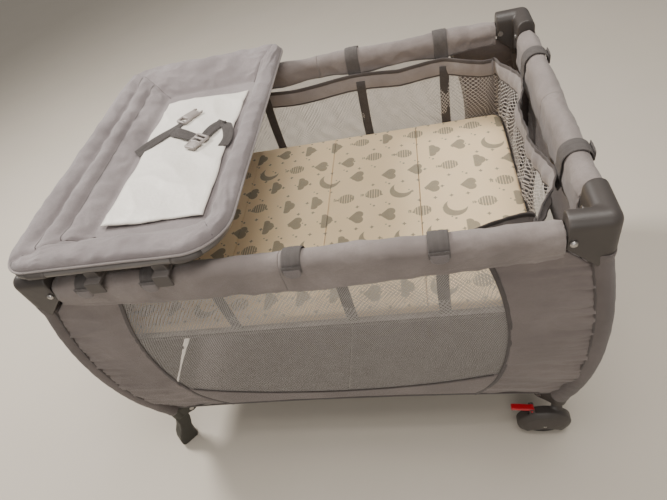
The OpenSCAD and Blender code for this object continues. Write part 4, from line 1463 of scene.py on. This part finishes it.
def make_changer_pad():
    """Padded rolls round a sunken floor: cloth over foam, swollen between its seams."""
    rings, shares, outer, inner, left = pad_rings()
    shape = Shape()
    shape.grid(rings, round_columns=True)
    count = len(outer)
    for ring in (0, len(rings) - 1):
        shape.fill(ring * count, count, mitres())
    obj = shape.make("changing_pad", CHANGER_CLOTH)
    on_rings = len(rings) * count
    share = np.full(len(shape.verts), 1.5)
    share[:on_rings] = np.repeat(shares, count)
    two_rolls = np.zeros(len(share))
    two_rolls[:on_rings] = np.tile(left, len(shares))
    co = positions(obj)
    seam = to_mitre(co[:, :2], outer, inner)
    groove = two_rolls * sum(np.exp(-(((share - at) / 0.02) ** 2)) for at in GROOVES)
    pinned = (share < 0.02) | (share > 0.96) | (seam < 0.006) | (groove > 0.5)
    inflate(obj, pinned.astype(float), pressure=2.5, cap=0.009, frames=16)
    co = positions(obj)
    on_roll = smoothstep(0.0, 0.08, share) * smoothstep(1.0, 0.85, share)
    lumps = wrinkle(co, (9, 9, 3), 3.0)
    pulls = wrinkle(co, (26, 26, 8), 17.0)
    creases = -np.abs(wrinkle(co + 0.4 * co[:, [1, 2, 0]], (24, 24, 8), 9.0)) ** 0.6
    near_seam = 1 + 1.2 * np.exp(-seam / 0.03) + 0.6 * np.minimum(groove, 1)
    calm = 1 - 0.7 * np.minimum(groove, 1)
    fine = wrinkle(co, (60, 60, 20), 28.0)
    co[:, 2] += on_roll * calm * (0.0032 * lumps + 0.0042 * pulls + 0.0052 * (creases + 0.5) * near_seam)
    co[:, 2] += on_roll * 0.0012 * fine - on_roll * 0.0045 * np.exp(-((seam / 0.004) ** 2))
    set_positions(obj, co)
    make_pad_seams(co[:on_rings].reshape(rings.shape), shares)
    subdivide(obj)
    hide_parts("changer_pad")
    finish_piece(obj, "changer")


def make_changer_edge():
    """Piping round the changing table's outline."""
    plan = matched_plan(PAD_HALF[0] + 0.0005, PAD_HALF[1] + 0.0005, PAD_CORNERS, (0, 0))
    height = PAD_HIGH.z - 0.0175 + 0.0015 * flat_wrinkle(*plan.T, (9, 9), 2.0)
    path = np.column_stack([plan[:, 0] + PAD_MIDDLE.x, plan[:, 1] + PAD_MIDDLE.y, height])
    shape = Shape()
    shape.tube(path, 0.0024, sides=8, closed=True)
    finish_piece(shape.make("changer_piping", BAND_CLOTH), "changer")


def panel_height(x, y):
    """Top of the white panel's cloth: soft creases over the sunken floor."""
    p = np.stack([x, y, 0 * x], axis=-1)
    ridges = 1 - np.abs(wrinkle(p + 0.3 * p[..., [1, 0, 2]], (13, 9, 1), 12.0)) ** 0.7
    return FLOOR_Z + 0.0024 + 0.0046 * flat_wrinkle(x, y, (8, 6), 6.0) + 0.0060 * ridges


def make_changer_panel():
    low, high = PANEL_LOW, PANEL_HIGH
    x, y = np.meshgrid(np.linspace(low.x, high.x, 60), np.linspace(low.y, high.y, 110), indexing="ij")
    edge = np.minimum(np.minimum(x - low.x, high.x - x), np.minimum(y - low.y, high.y - y))
    wobble = 0.005 * flat_wrinkle(x, y, (9, 9), 40.0) * smoothstep(0.03, 0, edge)
    z = panel_height(x, y) - 0.0026 * smoothstep(0.008, 0, edge)
    shape = Shape()
    shape.grid(np.stack([x + wobble, y - wobble, z], axis=-1))
    obj = thicken(shape.make("wipe_panel", VINYL), 0.0016)
    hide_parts("changer_panel")
    finish_piece(obj, "changer")


def make_changer_frame():
    """The changing table's tube, a rounded ring with a plastic sleeve over each joint."""
    low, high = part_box("changer_frame")
    r = (high.z - low.z) / 2
    half_x, half_y = (high.x - low.x) / 2 - r, (high.y - low.y) / 2 - r
    mid = (low + high) / 2
    plan = matched_plan(half_x, half_y, TUBE_CORNERS, (mid.x, mid.y))
    path = np.column_stack([plan, np.full(len(plan), mid.z)])
    shape = Shape()
    shape.tube(path, r, sides=16, closed=True)
    tube = shape.make("changer_tube", TUBE_COAT)
    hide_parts("changer_frame")
    finish_piece(tube, "changer")
    shape = Shape()
    radii = r + np.interp(np.arange(7), [0, 1, 5, 6], [0.0006, 0.002, 0.002, 0.0006])
    for sy in (-1, 1):
        for sx in (-1, 1):
            spot = np.argmin(np.hypot(path[:, 0] - mid.x - sx * 0.150, path[:, 1] - mid.y - sy * half_y))
            shape.tube(path[np.arange(spot - 3, spot + 4) % len(path)], radii)
    finish_piece(shape.make("changer_tube_sleeves", HOOK_PLASTIC), "changer")


def make_changer_hooks():
    softened("changer_hooks", "moulded_hooks", HOOK_PLASTIC, voxel=0.0015, rounds=4)


# ---------- belt on the changing table ----------

# The belt's bends: distances from the white panel's middle, and the layer each part lies in.
BELT = {
    "left": ([(-0.118, 0.010), (-0.085, 0.040), (-0.052, 0.078), (-0.028, 0.112)], 0),
    "right": ([(0.098, -0.010), (0.104, 0.022), (0.092, 0.062), (0.076, 0.084)], 0),
    "fold": ([(0.076, 0.084), (0.062, 0.062), (0.050, 0.040), (0.040, 0.022)], 1),
    "tail": ([(-0.048, 0.076), (-0.028, 0.058), (0.004, 0.040), (0.040, 0.022)], 2),
}
BELT_W, BELT_T = 0.025, 0.0018


def belt_path(name):
    """A strap's middle line, with its height measured from the white panel."""
    points, layer = BELT[name]
    flat = curve_through([(x + PANEL_MIDDLE.x, y + PANEL_MIDDLE.y) for x, y in points], 40)
    lift = 0.0015 + 0.0024 * layer + 0.004 * bump_between(0.1, 0.9, np.linspace(0, 1, 40))
    return np.column_stack([flat, lift])


def belt_end(name):
    """The end of a strap, and the level directions along it and across it there."""
    path = belt_path(name)
    way = unit((path[-1] - path[-8]) * [1, 1, 0])
    return path[-1], way, np.array([-way[1], way[0], 0.0])


def lay_on_panel(shape):
    """Lifts a shape that was drawn over z = 0 onto the white panel."""
    x, y, z = np.array(shape.verts).T
    shape.verts = list(zip(x, y, z + panel_height(x, y)))
    return shape


def make_belt():
    shape = Shape()
    for name in BELT:
        path = belt_path(name)
        twist = 0.35 * np.sin(np.linspace(0, math.pi, len(path)) + len(name))
        side = np.column_stack([np.zeros(len(path)), twist, np.ones(len(path))])
        shape.strip(path, side, BELT_W, BELT_T, ribs=2)
    pin = np.array([[-0.010, 0.008, 0.002], [0.010, -0.008, 0.002]])
    shape.tube(belt_path("right")[-1] + pin, 0.0026, sides=8)
    straps = lay_on_panel(shape).make("belt_webbing", WEBBING)
    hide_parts("belt_straps")
    finish_piece(straps, "changer")


def buckle_frame(shape, start, way, side, length, width, bars):
    """A rounded plastic frame: two rails along it, and bars at the given shares of its length."""
    for s in (-1, 1):
        rail = [start + way * t + side * s * width / 2 for t in np.linspace(0, length, 9)]
        shape.tube(rail, 0.0032, sides=10)
    for share in bars:
        across = [start + way * share * length + side * w for w in np.linspace(-width / 2, width / 2, 9)]
        shape.tube(across, 0.0034, sides=10)


def make_buckles():
    """The side-release plug on the left strap, and the ladder buckle at the fold of the right one."""
    up = np.array([0, 0, 1.0])
    shape = Shape()
    end, way, side = belt_end("left")
    body = np.array([end + way * t + up * 0.003 for t in np.linspace(0.006, 0.040, 14)])
    width = 0.033 - 0.006 * np.linspace(0, 1, 14) ** 3
    shape.strip(body, [up] * 14, width, 0.0088)
    buckle_frame(shape, end - way * 0.008 + up * 0.003, way, side, 0.018, 0.028, (0, 0.9))
    for s in (-1, 1):
        bends = ((0.038, 0.010), (0.045, 0.0125), (0.050, 0.010))
        prong = [end + way * t + side * s * w + up * 0.0035 for t, w in bends]
        shape.tube(prong, [0.003, 0.0028, 0.002], sides=8)
    end, way, side = belt_end("fold")
    buckle_frame(shape, end - way * 0.010 + up * 0.0035, way, side, 0.044, 0.030, (0, 0.28, 0.56, 1))
    plate = np.array([end + way * t + up * 0.0045 for t in np.linspace(0.016, 0.036, 8)])
    shape.strip(plate, [up] * len(plate), 0.026, 0.004)
    obj = lay_on_panel(shape).make("belt_buckle_set", BUCKLE_PLASTIC)
    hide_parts("belt_buckles")
    finish_piece(obj, "changer")


# ---------- floor, light and camera ----------


def make_stage():
    shape = Shape()
    ring = np.linspace(0, 2 * math.pi, 64, endpoint=False)
    rows = [np.column_stack([r * np.cos(ring), r * np.sin(ring), np.zeros(64)]) for r in (0.05, 4.0, 14.0)]
    shape.grid(np.array(rows), round_columns=True)
    shape.faces.append(tuple(range(64)))
    shape.kinds.append(0)
    floor = shape.make("studio_floor", studio_floor("pale_floor"))
    floor.location.z = -0.0004


def make_light():
    world = bpy.data.worlds.new("studio")
    world.use_nodes = True
    world.node_tree.nodes["Background"].inputs["Color"].default_value = (1.0, 0.97, 0.93, 1)
    world.node_tree.nodes["Background"].inputs["Strength"].default_value = 0.30
    scene.world = world
    for name, place, size, power in (
        ("key", (-1.9, 0.9, 2.4), 0.7, 92),
        ("ceiling", (0.5, -0.2, 3.0), 1.6, 58),
        ("fill", (0.4, -2.8, 1.8), 1.6, 24),
    ):
        lamp = bpy.data.lights.new(name, "AREA")
        lamp.size, lamp.energy = size, power
        lamp.color = (1.0, 0.965, 0.91)
        obj = bpy.data.objects.new(name, lamp)
        obj.location = place
        obj.rotation_mode = "QUATERNION"
        obj.rotation_quaternion = (Vector((0, 0, 0.4)) - Vector(place)).to_track_quat("-Z", "Y")
        scene.collection.objects.link(obj)


def make_camera():
    """A phone held above the front right corner, tilted down and a little anticlockwise."""
    yaw, pitch, roll = (math.radians(a) for a in (-18.03, 45.13, -19.18))
    look = Vector((math.sin(yaw) * math.cos(pitch), math.cos(yaw) * math.cos(pitch), -math.sin(pitch)))
    level = Vector((math.cos(yaw), -math.sin(yaw), 0))
    rise = level.cross(look)
    right = math.cos(roll) * level + math.sin(roll) * rise
    up = math.cos(roll) * rise - math.sin(roll) * level
    camera = bpy.data.cameras.new("camera")
    camera.lens, camera.sensor_width = 26.73, 36
    obj = bpy.data.objects.new("camera", camera)
    turn = Matrix((right, up, -look)).transposed()
    obj.matrix_world = Matrix.Translation((0.2751, -0.9031, 1.3057)) @ turn.to_4x4()
    scene.collection.objects.link(obj)
    scene.camera = obj


PARTS = (
    dress_cad_nodes, make_castings, make_rivet_heads, make_leg_sleeves, make_covers, make_walls,
    make_floor_quarters, make_feet, make_wheels, make_bassinet, make_clips, make_mattress, make_changer_pad,
    make_changer_edge, make_changer_panel, make_changer_frame, make_changer_hooks, make_belt, make_buckles,
    make_stage, make_light, make_camera,
)
for make_part in PARTS:
    make_part()
